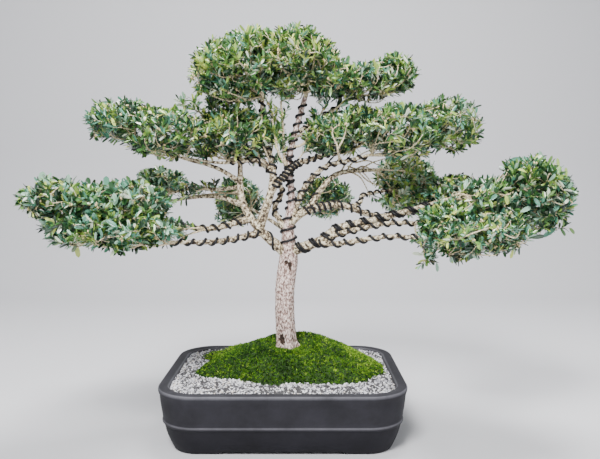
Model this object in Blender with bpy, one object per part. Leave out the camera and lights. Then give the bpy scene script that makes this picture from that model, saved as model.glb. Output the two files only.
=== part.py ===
"""A boxwood bonsai in a low rounded-rectangular pot.

The pot stands on four corner feet and holds soil, a layer of pale gravel and a mound of moss. The
trunk rises from the mound, bows a little and forks; long boughs carry separate pads of foliage.
Metres, +Z up, X to the right and Y to the back. The origin is under the middle of the pot, on the
surface that it stands on.
"""

import math

import bmesh
import bpy
import numpy as np

MM = 0.001
GAP = 0.3 * MM  # clearance between neighbouring solids

# Pot
POT_WIDTH, POT_DEPTH, POT_HEIGHT = 400 * MM, 310 * MM, 100 * MM
POT_CORNER = 66 * MM
RIM_WIDTH = 17 * MM
WALL_DRAFT = 16 * MM  # how far the inside wall leans in from rim to floor
FLOOR_TOP = 16 * MM
FOOT_HEIGHT = 5 * MM
FOOT_SPAN_X, FOOT_SPAN_Y = 190 * MM, 120 * MM  # clear span between the feet along each side
GRAVEL_DEPTH = 9 * MM
GRAVEL_BELOW_RIM = 5 * MM
GRAVEL_RELIEF = 2.2 * MM  # height of the coarse heaps of chips
GRAVEL_BANDS, GRAVEL_BAND_RUN, GRAVEL_POINTS = 4, 12 * MM, 64

# Moss mound
MOUND_X, MOUND_Y = 10 * MM, 8 * MM
MOUND_HALF_X, MOUND_HALF_Y = 157 * MM, 92 * MM
MOUND_TOP = 137 * MM
MOUND_POWER = 2.8  # 2 would make its outline an ellipse
MOUND_BACK = 26 * MM  # how much higher the slope behind the trunk aims
MOUND_FLAT = 27 * MM  # radius of the level spot that the trunk stands on
MOUND_EDGE = 3 * MM  # thickness of the moss at its edge
MOUND_SIDES = 28
BED_SPARE = 1.003  # the level bed under the moss, times the moss's own foot

# Foliage
LEAF_LENGTH, LEAF_WIDTH, LEAF_THICK = 42 * MM, 17 * MM, 1.6 * MM
LEAF_SUNK = 1.4 * MM  # how far a leaf's root reaches past its twig's far side
TWIG_TIP = 1.3 * MM
CLEAR = 0.8 * MM  # what a leaf or twig keeps from every limb
LEAF_APART = 1.6 * MM  # what a leaf keeps from the other twigs, and half what it keeps from leaves
TWIG_COUNTS = 7, 11  # in the smallest mass and in the largest
LEAF_COUNTS = 11, 20
TRIES = 12  # points tried for each twig's end
WAY_BACK = 0.4  # how much the way back to the stem counts when a twig looks for its root
STEM_RUN = 6 * MM
TRUNK_SIDES, LIMB_SIDES = 12, 8


# ---------------------------------------------------------------- materials and mesh helpers


def material(name, colour, roughness, metallic=0.0):
    made = bpy.data.materials.new(name)
    made.use_nodes = True
    shader = made.node_tree.nodes["Principled BSDF"]
    shader.inputs["Base Color"].default_value = (*colour, 1)
    shader.inputs["Roughness"].default_value = roughness
    shader.inputs["Metallic"].default_value = metallic
    return made


def add_object(name, points, faces, finish=None):
    mesh = bpy.data.meshes.new(name)
    mesh.from_pydata([tuple(p) for p in points], [], faces)
    made = bmesh.new()
    made.from_mesh(mesh)
    bmesh.ops.recalc_face_normals(made, faces=made.faces)
    made.to_mesh(mesh)
    made.free()
    thing = bpy.data.objects.new(name, mesh)
    if finish:
        mesh.materials.append(finish)
    bpy.context.scene.collection.objects.link(thing)
    return thing


def loft(rings):
    """Points and faces of the closed skin over rings with equal numbers of points."""
    count = len(rings[0])
    points = [p for ring in rings for p in ring]
    faces = []
    for low in range(len(rings) - 1):
        for i in range(count):
            j = (i + 1) % count
            a, b = low * count, (low + 1) * count
            faces.append((a + i, a + j, b + j, b + i))
    faces.append(tuple(reversed(range(count))))
    faces.append(tuple(range(len(points) - count, len(points))))
    return points, faces


def apply_modifiers(thing):
    graph = bpy.context.evaluated_depsgraph_get()
    mesh = bpy.data.meshes.new_from_object(thing.evaluated_get(graph))
    thing.modifiers.clear()
    thing.data = mesh


def remove(things):
    for thing in list(things):
        bpy.data.objects.remove(thing)


def cut(thing, cutters):
    """Takes the cutters out of thing and removes them."""
    for cutter in cutters:
        boolean = thing.modifiers.new("cut", "BOOLEAN")
        boolean.operation = "DIFFERENCE"
        boolean.object = cutter
    apply_modifiers(thing)
    remove(cutters)


def keep_largest_body(thing):
    """Drops the loose scraps that a Boolean leaves."""
    made = bmesh.new()
    made.from_mesh(thing.data)
    left, bodies = set(made.faces), []
    while left:
        start = left.pop()
        body, todo = [start], [start]
        while todo:
            for edge in todo.pop().edges:
                for face in edge.link_faces:
                    if len(edge.link_faces) == 2 and face in left:
                        left.discard(face)
                        body.append(face)
                        todo.append(face)
        bodies.append(body)
    bodies.sort(key=len)
    scraps = [face for body in bodies[:-1] for face in body]
    bmesh.ops.delete(made, geom=scraps, context="FACES")
    made.to_mesh(thing.data)
    made.free()


# ---------------------------------------------------------------- pot, soil, gravel and moss


def pot_ring(inset, z, steps=6):
    """The pot's rounded-rectangular outline, drawn in by inset, at height z."""
    half_x, half_y = POT_WIDTH / 2 - inset, POT_DEPTH / 2 - inset
    corner = max(POT_CORNER - inset, 8 * MM)
    ring = []
    for quarter in range(4):
        cx = (half_x - corner) * (1 if quarter in (0, 3) else -1)
        cy = (half_y - corner) * (1 if quarter in (0, 1) else -1)
        for step in range(steps + 1):
            turn = math.radians(90 * (quarter + step / steps))
            ring.append((cx + corner * math.cos(turn), cy + corner * math.sin(turn), z))
    return ring


def inner_inset(z):
    """How far the pot's inside wall lies in from the rim's outline at height z."""
    return RIM_WIDTH + WALL_DRAFT * (POT_HEIGHT - z) / (POT_HEIGHT - FLOOR_TOP)


def foot_channel(name, width, length, along_x):
    """A cutter with sloping ends that clears the span between two feet."""
    slope = 8 * MM
    rings = []
    for z, half in ((-5 * MM, width / 2 + slope), (FOOT_HEIGHT, width / 2)):
        ring = [(-half, -length), (half, -length), (half, length), (-half, length)]
        rings.append([(y, x, z) if along_x else (x, y, z) for x, y in ring])
    return add_object(name, *loft(rings))


def make_pot(finish):
    outer = (
        (27, 0),
        (24, 1),
        (18, 14),
        (12.5, 28),
        (9.5, 41),
        (6.2, 43.5),
        (5.6, 46.5),
        (7.2, 50),
        (4.5, 68),
        (2.2, 88),
        (0.6, 92),
        (0, 96),
        (1.0, 99),
        (3.0, 100),
    )
    rings = [pot_ring(inset * MM, z * MM) for inset, z in outer]
    rings.append(pot_ring(RIM_WIDTH - 2 * MM, POT_HEIGHT))
    rings.append(pot_ring(RIM_WIDTH, POT_HEIGHT - 2 * MM))
    rings.append(pot_ring(inner_inset(FLOOR_TOP), FLOOR_TOP))
    pot = add_object("pot", *loft(rings), finish)
    foot_inset, foot_ring = 27 * MM, 16 * MM
    under = [pot_ring(foot_inset + foot_ring, z) for z in (-5 * MM, FOOT_HEIGHT)]
    cutters = [
        add_object("under", *loft(under)),
        foot_channel("front_to_back", FOOT_SPAN_X, POT_DEPTH, False),
        foot_channel("side_to_side", FOOT_SPAN_Y, POT_WIDTH, True),
    ]
    cut(pot, cutters)
    return pot


def make_fill(name, low, high, finish):
    """A layer that fills the pot from one height to another, clear of its wall."""
    rings = [pot_ring(inner_inset(z) + GAP, z) for z in (low, high)]
    return add_object(name, *loft(rings), finish)


def spaced(ring, count):
    """Points spaced evenly along a closed ring."""
    closed = np.array([*ring, ring[0]])
    along = np.concatenate([[0], np.cumsum(np.linalg.norm(np.diff(closed, axis=0), axis=1))])
    wanted = np.arange(count) / count * along[-1]
    return np.column_stack([np.interp(wanted, along, closed[:, k]) for k in range(3)])


def make_gravel(low, high, finish):
    """The gravel layer: heaped unevenly in bands round the pot, level where the moss lies on it."""
    rng = np.random.default_rng(7)
    rings = [pot_ring(inner_inset(z) + GAP, z) for z in (low, high)]
    rings = [spaced(ring, GRAVEL_POINTS) for ring in rings]
    for band in range(1, GRAVEL_BANDS + 1):
        ring = spaced(pot_ring(inner_inset(high) + band * GRAVEL_BAND_RUN, high), GRAVEL_POINTS)
        ring[:, 2] += rng.uniform(-0.1, 1, GRAVEL_POINTS) * GRAVEL_RELIEF
        rings.append(ring)
    gravel = add_object("gravel", *loft(rings), finish)
    edge = [mound_point(1, 2 * math.pi * i / MOUND_SIDES, high, high + GAP) for i in range(MOUND_SIDES)]
    edge = [(x * BED_SPARE, y * BED_SPARE) for x, y, _ in edge]
    bed = [[(x, y, z) for x, y in edge] for z in (high, high + 4 * GRAVEL_RELIEF)]
    cut(gravel, [add_object("bed", *loft(bed))])


def mound_reach(turn):
    """The moss's uneven edge, a rounded oblong, as a share of its half axes."""
    square = abs(math.cos(turn)) ** MOUND_POWER + abs(math.sin(turn)) ** MOUND_POWER
    uneven = 0.02 * math.sin(3 * turn + 0.6) + 0.02 * math.sin(7 * turn + 1.0)
    return square ** (-1 / MOUND_POWER) + uneven


def mound_point(share, turn, z_foot, z_top):
    """A point of the mound's surface: share 1 is its edge, smaller shares lie further up."""
    crest = z_top + MOUND_BACK * max(0, math.cos(turn - math.radians(68)))
    reach = share * mound_reach(turn)
    x = MOUND_X * share + MOUND_HALF_X * reach * math.cos(turn)
    y = MOUND_Y * share + MOUND_HALF_Y * reach * math.sin(turn)
    rise = 1 - share**2.1
    return x, y, z_foot + MOUND_EDGE * (share < 1) + (crest - z_foot - MOUND_EDGE) * rise


def mound_rings(z_foot, z_top):
    """Rings of the moss mound, from its foot on the gravel up to the level spot."""
    turns = [2 * math.pi * i / MOUND_SIDES for i in range(MOUND_SIDES)]
    rings = []
    for share in (1.0, 0.98, 0.86, 0.7, 0.52, 0.38):
        rings.append([mound_point(share, turn, z_foot, z_top) for turn in turns])
    flat = [(FOOT_X + MOUND_FLAT * math.cos(t), MOUND_FLAT * math.sin(t), z_top) for t in turns]
    rings.append(flat)
    return rings


# ---------------------------------------------------------------- limbs

FOOT_X = 7 * MM  # where the trunk stands, right of the pot's middle

# name: (radius at the root, radius at the tip, waypoints in millimetres). The first waypoint is
# inside the limb that it grows from, and the last is where its foliage begins.
LIMBS = {
    "left_bough": (8.6, 3.6, ((4, 3, 301), (-44, -6, 345), (-72, 2, 393), (-76, 10, 468))),
    "right_bough": (
        8.6,
        3.2,
        ((10, 3, 304), (62, -14, 324), (93, -22, 346), (164, -38, 364), (264, -54, 394)),
    ),
    "left_inner_bough": (
        7.6,
        3.2,
        ((-43, -6, 344), (-20, -14, 415), (-22, -2, 463), (-36, -2, 500), (-36, -8, 562)),
    ),
    "right_fork": (
        6.8,
        3.0,
        ((8, 4, 352), (38, -4, 374), (95, 8, 384), (158, 24, 365), (214, 34, 368), (252, 38, 378)),
    ),
    "twisting_bough": (
        4.6,
        2.6,
        ((0, 6, 346), (-17, 14, 377), (-5, 17, 412), (-42, 10, 457), (-92, 10, 462)),
    ),
    "upper_left_bough": (4.0, 2.4, ((-75, 8, 424), (-115, -6, 448), (-161, -18, 461))),
    "lower_left_bough": (5.4, 2.8, ((-60, -5, 361), (-128, -36, 346), (-206, -74, 364))),
    "lowest_left_bough": (5.2, 2.8, ((-38, -5, 338), (-105, -44, 326), (-182, -88, 328))),
    "back_left_bough": (4.4, 2.4, ((-68, -1, 384), (-122, 40, 398), (-190, 80, 393), (-235, 100, 380))),
    "back_left_side_bough": (3.6, 2.2, ((-74, 6, 416), (-116, 36, 411), (-172, 70, 412), (-208, 86, 404))),
    "bare_right_bough": (5.6, 3.0, ((42, -4, 376), (65, 12, 412), (96, 30, 439), (162, 64, 446))),
    "upper_right_bough": (
        4.8,
        2.8,
        ((13, 3, 362), (37, 14, 417), (71, 6, 450), (106, -4, 459), (142, -12, 468)),
    ),
    "knotted_right_bough": (4.4, 2.6, ((8, 6, 450), (59, 14, 467), (119, 28, 483))),
    "middle_right_bough": (4.8, 2.6, ((62, -15, 325), (103, -34, 340), (170, -54, 356), (231, -70, 357))),
    "lowest_right_bough": (4.8, 2.6, ((50, -10, 320), (94, -40, 322), (164, -76, 336), (228, -100, 336))),
    "crooked_right_bough": (3.4, 2.2, ((118, 14, 382), (134, 24, 389), (139, 34, 400), (187, 62, 409))),
    "crown_side_bough": (3.2, 2.2, ((26, 8, 510), (54, 20, 530), (92, 27, 554), (118, 27, 570))),
    "rear_left_bough": (3.8, 2.4, ((2, 6, 340), (-22, 60, 352), (-62, 112, 372))),
    "rear_right_bough": (3.8, 2.4, ((12, 6, 368), (30, 62, 374), (60, 124, 382))),
}

# (radius, waypoint) from the flat cut at the moss, up through the forks to the crown.
TRUNK = (
    (22.0, (7, 0, 137)),
    (18.0, (4, -1, 152)),
    (16.6, (1, -3, 200)),
    (16.6, (2, -1, 246)),
    (16.2, (7, 2, 284)),
    (13.6, (8, 3, 312)),
    (10.4, (7, 4, 340)),
    (8.0, (10, 5, 366)),
    (6.0, (13, 6, 400)),
    (5.4, (8, 6, 448)),
    (4.8, (13, 6, 484)),
    (4.2, (36, 8, 568)),
)


def smooth(samples, steps):
    """A Catmull-Rom curve through the samples, each an array row, with steps points a span."""
    rows = np.array(samples, float)
    rows = np.vstack([2 * rows[0] - rows[1], rows, 2 * rows[-1] - rows[-2]])
    out = []
    for i in range(1, len(rows) - 2):
        a, b, c, d = rows[i - 1 : i + 3]
        for t in np.arange(steps) / steps:
            out.append(
                0.5
                * (
                    2 * b
                    + (c - a) * t
                    + (2 * a - 5 * b + 4 * c - d) * t * t
                    + (3 * b - a - 3 * c + d) * t**3
                )
            )
    out.append(rows[-2])
    return np.array(out)


def limb_line(name):
    """Centre points and radii of a limb, in metres."""
    if name == "trunk":
        line = smooth([(*p, r) for r, p in TRUNK], 3)
        return line[:, :3] * MM, line[:, 3] * MM
    root, tip, waypoints = LIMBS[name]
    line = smooth(waypoints, 3) * MM
    along = np.concatenate([[0], np.cumsum(np.linalg.norm(np.diff(line, axis=0), axis=1))])
    return line, (root + (tip - root) * (along / along[-1]) ** 0.8) * MM


def frames(line, upright=0.0):
    """Two unit vectors across the line at each point, carried along it without twist. Over the
    first stretch, upright metres high, they turn from level to square with the line."""
    tangents = np.gradient(line, axis=0)
    tangents /= np.linalg.norm(tangents, axis=1)[:, None]
    if upright:
        share = np.clip((line[:, 2] - line[0][2]) / upright, 0, 1)[:, None]
        tangents = tangents * share + np.array([0, 0, 1.0]) * (1 - share)
        tangents /= np.linalg.norm(tangents, axis=1)[:, None]
    start = np.array([0.0, 0.0, 1.0]) if abs(tangents[0][2]) < 0.9 else np.array([1.0, 0.0, 0.0])
    across = []
    for tangent in tangents:
        start = start - tangent * (start @ tangent)
        start /= np.linalg.norm(start)
        across.append((start, np.cross(tangent, start)))
    return across


def tube_rings(line, radii, sides, turn=0.0):
    rings = []
    angles = [turn + 2 * math.pi * i / sides for i in range(sides)]
    for (u, v), centre, radius in zip(frames(line), line, radii):
        rings.append([centre + radius * (u * math.cos(a) + v * math.sin(a)) for a in angles])
    return rings


def trunk_rings(extra=0.0):
    """Rings up the trunk. The lowest ones swell into the shoulders of its roots."""
    line, radii = limb_line("trunk")
    rings = []
    for (u, v), centre, radius in zip(frames(line, 60 * MM), line, radii):
        flare = 0.16 * math.exp(-(centre[2] - line[0][2]) / (14 * MM))
        ring = []
        for i in range(TRUNK_SIDES):
            turn = 2 * math.pi * i / TRUNK_SIDES
            reach = radius * (1 + flare * math.sin(4 * turn + 0.8)) + extra
            ring.append(centre + reach * (u * math.cos(turn) + v * math.sin(turn)))
        rings.append(ring)
    return rings


def limb_rings(name, extra=0.0):
    if name == "trunk":
        return trunk_rings(extra)
    line, radii = limb_line(name)
    return tube_rings(line, radii + extra, LIMB_SIDES)


def boxes_meet(a, b):
    low_a, high_a = np.min(a, axis=(0, 1)), np.max(a, axis=(0, 1))
    low_b, high_b = np.min(b, axis=(0, 1)), np.max(b, axis=(0, 1))
    return bool((low_a <= high_b).all() and (low_b <= high_a).all())


def make_limbs(finish):
    """The trunk, then each bough with its root cut to the limbs that stand before it."""
    made = []
    for name in ("trunk", *LIMBS):
        rings = limb_rings(name)
        limb = add_object(name, *loft(rings), finish)
        swollen = {other: limb_rings(other, GAP * 1.2) for other in made}
        near = [other for other in made if boxes_meet(rings, swollen[other])]
        if near:
            cut(limb, [add_object("cutter", *loft(swollen[other])) for other in near])
            keep_largest_body(limb)
        limb.data.shade_smooth()
        limb.data.set_sharp_from_angle(angle=math.radians(40))
        made.append(name)


# ---------------------------------------------------------------- foliage

# name: (the limb whose tip carries it, then lobes: centre and half axes in millimetres). A mass
# keeps inside its lobes.
MASSES = {
    "crown_left": ("left_inner_bough", ((-84, -12, 604), (74, 82, 58)), ((-50, -4, 628), (62, 70, 52))),
    "crown_middle": ("trunk", ((24, 12, 624), (73, 88, 62)), ((74, 16, 598), (50, 60, 38))),
    "crown_right": ("crown_side_bough", ((150, 26, 596), (62, 56, 38)), ((188, 22, 608), (40, 42, 34))),
    "upper_left_inner": ("twisting_bough", ((-78, 10, 504), (62, 70, 50)), ((-130, 6, 500), (50, 66, 40))),
    "upper_left_outer": (
        "upper_left_bough",
        ((-196, -26, 502), (72, 76, 42)),
        ((-264, -30, 522), (61, 64, 36)),
    ),
    "upper_right_inner": (
        "knotted_right_bough",
        ((92, 24, 504), (60, 66, 38)),
        ((132, 30, 522), (56, 62, 34)),
    ),
    "upper_right_outer": (
        "upper_right_bough",
        ((200, -12, 506), (74, 82, 48)),
        ((278, -4, 518), (60, 68, 47)),
    ),
    "lower_left_upper": (
        "lower_left_bough",
        ((-250, -96, 386), (80, 78, 38)),
        ((-338, -112, 394), (60, 68, 34)),
    ),
    "lower_left_lower": (
        "lowest_left_bough",
        ((-240, -124, 350), (76, 66, 34)),
        ((-300, -130, 352), (60, 60, 30)),
    ),
    "back_left_lower": ("back_left_bough", ((-262, 124, 388), (44, 52, 42))),
    "back_left_upper": ("back_left_side_bough", ((-236, 104, 422), (46, 46, 28))),
    "rear_left": ("rear_left_bough", ((-94, 150, 384), (48, 56, 48))),
    "rear_right": ("rear_right_bough", ((76, 164, 392), (54, 56, 40))),
    "back_right_upper": ("bare_right_bough", ((224, 96, 434), (58, 60, 38))),
    "back_right_lower": ("crooked_right_bough", ((222, 80, 392), (46, 48, 28))),
    "lower_right_end": ("right_bough", ((322, -62, 382), (70, 66, 42)), ((398, -70, 402), (64, 76, 64))),
    "lower_right_middle": ("right_fork", ((306, 18, 402), (66, 62, 40)), ((352, 4, 392), (52, 54, 40))),
    "lower_right_inner": ("middle_right_bough", ((262, -92, 358), (50, 52, 34))),
    "lower_right_low": (
        "lowest_right_bough",
        ((268, -124, 338), (62, 54, 32)),
        ((330, -120, 346), (52, 50, 34)),
    ),
}


SEEDS = {"upper_right_inner": 304, "upper_left_inner": 305}  # the other masses number on from 100


def lobes_of(name):
    return [(np.array(c) * MM, np.array(r) * MM) for c, r in MASSES[name][1:]]


def depth_in(name, points):
    """0 at the heart of a mass, 1 on its outline, for each point."""
    points = np.atleast_2d(points)
    shares = [np.sqrt((((points - c) / r) ** 2).sum(axis=1)) for c, r in lobes_of(name)]
    return np.min(shares, axis=0)


def own_space(name, points, most=1.0):
    """Whether the points lie in this mass's space and not nearer the heart of another."""
    mine = depth_in(name, points)
    if (mine > most).any():
        return False
    return all((mine + 0.03 < depth_in(other, points)).all() for other in MASSES if other != name)


def spread(name, count, rng, shell=0.0):
    """Points spread evenly through a mass: of several tries, each takes the one furthest off."""
    lobes = lobes_of(name)
    weights = np.array([r.prod() for _, r in lobes])
    chosen = []
    while len(chosen) < count:
        best, best_gap = None, -1.0
        for _ in range(TRIES):
            centre, radii = lobes[rng.choice(len(lobes), p=weights / weights.sum())]
            way = rng.normal(size=3)
            way /= np.linalg.norm(way)
            point = centre + radii * way * (shell + (1 - shell) * rng.random()) ** (1 / 3) * 0.94
            if not own_space(name, point, 0.96):
                continue
            gap = min((np.linalg.norm(point - other) for other in chosen), default=1.0)
            if gap > best_gap:
                best, best_gap = point, gap
        if best is not None:
            chosen.append(best)
    return chosen


def limb_segments():
    """Every limb as straight pieces: starts, ends and radii, in rows."""
    starts, ends, radii = [], [], []
    for name in ("trunk", *LIMBS):
        line, widths = limb_line(name)
        starts.append(line[:-1])
        ends.append(line[1:])
        radii.append(np.maximum(widths[:-1], widths[1:]) * (1.2 if name == "trunk" else 1.0))
    return np.vstack(starts), np.vstack(ends), np.concatenate(radii)


def clear_of(points, limbs, extra):
    """Whether all points keep their distance from every straight piece of limb or twig."""
    starts, ends, radii = limbs
    ways = ends - starts
    offsets = np.atleast_2d(points)[:, None] - starts
    share = np.clip((offsets * ways).sum(axis=2) / (ways**2).sum(axis=1), 0, 1)
    gaps = np.linalg.norm(offsets - share[:, :, None] * ways, axis=2)
    return bool((gaps > radii + extra).all())


def twig_fits(name, start, a, b, limbs):
    """Whether a twig from a to b stays in its mass and clear of the limbs. The stem at start
    comes from just outside the mass and from against its bough, so it is let off nearby."""
    samples = a + (b - a) * np.linspace(0.1, 1, 10)[:, None]
    reach = np.linalg.norm(samples - start, axis=1)
    inside = own_space(name, samples[reach > 4 * STEM_RUN], 0.98)
    return inside and clear_of(samples[reach > STEM_RUN], limbs, CLEAR + 2.4 * TWIG_TIP)


def grow(name, start, way, targets, limbs):
    """Joins each target to the growing twigs where that takes the least new wood, with the way
    back to the stem counted in part, so that twigs fork as a branch does. Returns points and
    each point's parent."""
    points, parents, ways = [start, start + way * STEM_RUN], [-1, 0], [9.0, 0.0]
    for target in sorted(targets, key=lambda p: np.linalg.norm(p - start)):
        reach = np.linalg.norm(np.array(points) - target, axis=1)
        for best in np.argsort(reach + WAY_BACK * np.array(ways))[:6]:
            if best > 0 and twig_fits(name, start, points[best], target, limbs):
                points.append(target)
                parents.append(int(best))
                ways.append(ways[best] + reach[best])
                break
    return points, parents


def chains(parents):
    """Splits the twigs into lines, each following the child that carries most."""
    carried = [1] * len(parents)
    for i in range(len(parents) - 1, 0, -1):
        carried[parents[i]] += carried[i]
    children = [[] for _ in parents]
    for i, parent in enumerate(parents[1:], 1):
        children[parent].append(i)
    lines, todo = [], [[0]]
    while todo:
        line = todo.pop()
        while children[line[-1]]:
            order = sorted(children[line[-1]], key=lambda i: -carried[i])
            todo += [[line[-1], other] for other in order[1:]]
            line.append(order[0])
        lines.append(line)
    return lines, carried


def leaf_shape(root, way, up):
    """A leaf of eight faces: root, two sides, tip, a raised middle and a lowered one."""
    side = np.cross(way, up)
    side /= np.linalg.norm(side)
    normal = np.cross(side, way)
    middle = root + way * LEAF_LENGTH * 0.55
    points = [
        root,
        middle + side * LEAF_WIDTH / 2,
        root + way * LEAF_LENGTH,
        middle - side * LEAF_WIDTH / 2,
        middle + normal * LEAF_THICK,
        middle - normal * LEAF_THICK * 0.3,
    ]
    faces = [(i, (i + 1) % 4, 4) for i in range(4)] + [((i + 1) % 4, i, 5) for i in range(4)]
    return np.array(points), faces


def unit(vector):
    return vector / np.linalg.norm(vector)


def count_for(name, counts):
    """A number between the two counts, by the bulk of the mass."""
    bulk = [sum(np.prod(r) for _, r in lobes_of(other)) for other in MASSES]
    share = sum(np.prod(r) for _, r in lobes_of(name)) / max(bulk)
    return round(counts[0] + (counts[1] - counts[0]) * share)


def leaf_marks(points):
    """Points spread over a leaf, without its root."""
    root, right, tip, left, middle = points[:5]
    edges = [(root + right) / 2, (root + left) / 2, (tip + right) / 2, (tip + left) / 2]
    return np.array([*edges, right, left, tip, middle, (root + middle) / 2, (tip + middle) / 2])


def leaves_on(name, twigs, limbs, rng):
    """Leaves round the twigs: each leans outwards from the mass, keeps in its space and keeps
    clear of the limbs, of the other leaves and of every twig but its own."""
    heart = np.mean([c for c, _ in lobes_of(name)], axis=0)
    wood = tuple(np.array(column) for column in zip(*twigs))
    made, marks = [], []
    for number in range(count_for(name, LEAF_COUNTS)):
        a, b, radius = twigs[number % len(twigs)]
        for attempt in range(TRIES):
            share = 1.0 if number < len(twigs) and attempt < 4 else rng.uniform(0.2, 1.0)
            root = a + (b - a) * share - unit(b - a) * LEAF_SUNK
            outward = unit(root - heart)
            lean = rng.normal(size=3) * 0.7 + np.array([0, 0, 0.15])
            way = unit(unit(b - a) * 0.5 + outward * 0.5 + lean)
            up = unit(np.array([0, 0, 1.0]) + outward * 0.5 + rng.normal(size=3) * 0.4)
            points, faces = leaf_shape(root - way * (radius + LEAF_SUNK), way, up)
            own = leaf_marks(points)
            low = points[0] + (points[4] - points[0]) * np.array([[0], [0.15], [0.3]])
            if not own_space(name, points) or not clear_of(np.vstack([low, own]), limbs, 2 * CLEAR):
                continue
            if not clear_of(own, wood, LEAF_APART):
                continue
            if all(np.linalg.norm(own - other, axis=1).min() > 2 * LEAF_APART for other in marks):
                made.append((points, faces))
                marks += list(own)
                break
    return made


def make_mass(name, seed, limbs, finish):
    """One mass of foliage: a stem from its bough's tip, twigs that fork from it, and leaves."""
    rng = np.random.default_rng(seed)
    line, radii = limb_line(MASSES[name][0])
    way = unit(line[-1] - line[-2])
    start = line[-1] + way * GAP
    points, parents = grow(name, start, way, spread(name, count_for(name, TWIG_COUNTS), rng, 0.2), limbs)
    lines, carried = chains(parents)
    stem_radius = radii[-1] * 0.95
    solids, twigs = [], []
    for number, chain in enumerate(lines):
        shares = np.array([(carried[i] - 1) / (len(parents) - 1) for i in chain])
        widths = TWIG_TIP + (stem_radius - TWIG_TIP) * shares**0.6
        if number:
            widths[0] = widths[1]
        body = [points[i] for i in chain]
        solids.append(loft(tube_rings(np.array(body), widths, 3, rng.random() * 2)))
        twigs += [(body[k - 1], body[k], widths[k]) for k in range(1, len(chain)) if chain[k] > 1]
    solids += leaves_on(name, twigs, limbs, rng)
    return fuse(name, solids, finish)


def fuse(name, solids, finish):
    """One closed body from the overlapping solids."""
    parts = bpy.data.collections.new(name + "_parts")
    for points, faces in solids[1:]:
        thing = add_object("piece", points, faces)
        bpy.context.scene.collection.objects.unlink(thing)
        parts.objects.link(thing)
    mass = add_object(name, *solids[0], finish)
    boolean = mass.modifiers.new("join", "BOOLEAN")
    boolean.operation = "UNION"
    boolean.operand_type = "COLLECTION"
    boolean.collection = parts
    boolean.solver = "MANIFOLD"
    apply_modifiers(mass)
    remove(parts.objects)
    bpy.data.collections.remove(parts)
    keep_largest_body(mass)
    return mass


# ---------------------------------------------------------------- the whole tree


def main():
    remove(bpy.data.objects)
    clay = material("dark_clay", (0.045, 0.045, 0.055), 0.6)
    soil = material("soil", (0.09, 0.06, 0.04), 0.95)
    gravel = material("gravel", (0.62, 0.60, 0.60), 0.8)
    moss = material("moss", (0.06, 0.16, 0.01), 0.95)
    bark = material("bark", (0.45, 0.36, 0.26), 0.85)
    foliage = material("foliage", (0.10, 0.23, 0.08), 0.5)

    gravel_top = POT_HEIGHT - GRAVEL_BELOW_RIM
    soil_top = gravel_top - GRAVEL_DEPTH
    make_pot(clay)
    make_fill("soil", FLOOR_TOP + GAP, soil_top, soil)
    make_gravel(soil_top + GAP, gravel_top, gravel)
    mound = mound_rings(gravel_top + GAP, MOUND_TOP - GAP)
    add_object("moss_mound", *loft(mound), moss)
    make_limbs(bark)
    limbs = limb_segments()
    for number, name in enumerate(MASSES):
        make_mass(name, SEEDS.get(name, 100 + number), limbs, foliage)


main()
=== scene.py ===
"""The looks of a potted boxwood bonsai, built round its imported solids.

The frame gives the pot, soil, gravel, moss, trunk, boughs and foliage masses. This script gives them
their surfaces: a dressed pot, loose gravel, tufts of moss, bark in relief, training wire, and twigs
and leaves that grow on by the same rule as the solids' twigs. Metres, +Z up, camera on the -Y side.
"""

import math

import bmesh
import bpy
import numpy as np
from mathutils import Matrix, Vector, noise


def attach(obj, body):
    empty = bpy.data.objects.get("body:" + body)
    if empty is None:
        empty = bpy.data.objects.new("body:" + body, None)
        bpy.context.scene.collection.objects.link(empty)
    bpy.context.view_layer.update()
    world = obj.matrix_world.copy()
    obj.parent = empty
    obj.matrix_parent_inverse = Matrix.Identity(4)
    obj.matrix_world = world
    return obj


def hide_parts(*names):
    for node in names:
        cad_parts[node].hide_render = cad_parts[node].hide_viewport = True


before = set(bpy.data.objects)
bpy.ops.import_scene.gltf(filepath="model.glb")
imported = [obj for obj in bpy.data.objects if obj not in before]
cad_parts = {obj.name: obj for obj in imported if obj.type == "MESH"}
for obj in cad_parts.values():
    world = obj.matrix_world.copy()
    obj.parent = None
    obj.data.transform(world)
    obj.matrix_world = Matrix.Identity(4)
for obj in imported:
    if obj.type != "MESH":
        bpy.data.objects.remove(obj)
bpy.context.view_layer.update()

MM = 0.001

# ---------------------------------------------------------------- sizes, as in the solids

GAP = 0.3 * MM  # between a solid and what carries it
POT_WIDTH, POT_DEPTH, POT_HEIGHT = 400 * MM, 310 * MM, 100 * MM
POT_CORNER = 66 * MM
RIM_WIDTH = 17 * MM
WALL_DRAFT = 16 * MM
FLOOR_TOP = 16 * MM
FOOT_HEIGHT = 5 * MM
FOOT_SPAN_X, FOOT_SPAN_Y = 190 * MM, 120 * MM
GRAVEL_TOP = 95 * MM
MOUND_X, MOUND_Y = 10 * MM, 8 * MM
MOUND_HALF_X, MOUND_HALF_Y = 157 * MM, 92 * MM
MOUND_TOP = 137 * MM
MOUND_POWER = 2.8
MOUND_BACK = 26 * MM
MOUND_FLAT = 27 * MM
MOUND_EDGE = 3 * MM
FOOT_X = 7 * MM  # where the trunk stands, right of the pot's middle
LINE_STEPS = 3  # points of a limb's line for each waypoint
TAPER = 0.8  # under 1, a bough thins sooner near its root
STEM_RUN = 6 * MM  # length of a mass's stem before its first twig
TWIG_COUNTS = 7, 11  # twig ends in the smallest mass and in the largest
TRIES = 12  # places tried for each twig end
WAY_BACK = 0.4  # share of the way back to the stem that counts when a twig picks where to join
FAR_BACK = 9.0  # the way back that the stem's foot counts for
TWIG_ROOM = 0.8 * MM + 2.4 * 1.3 * MM  # clearance of a twig's middle line from every limb
OWN_MARGIN = 0.03  # how much deeper a point must lie in its own mass than in any other
END_REACH = 0.94  # share of a mass's lobes over which its twig ends are spread
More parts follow.
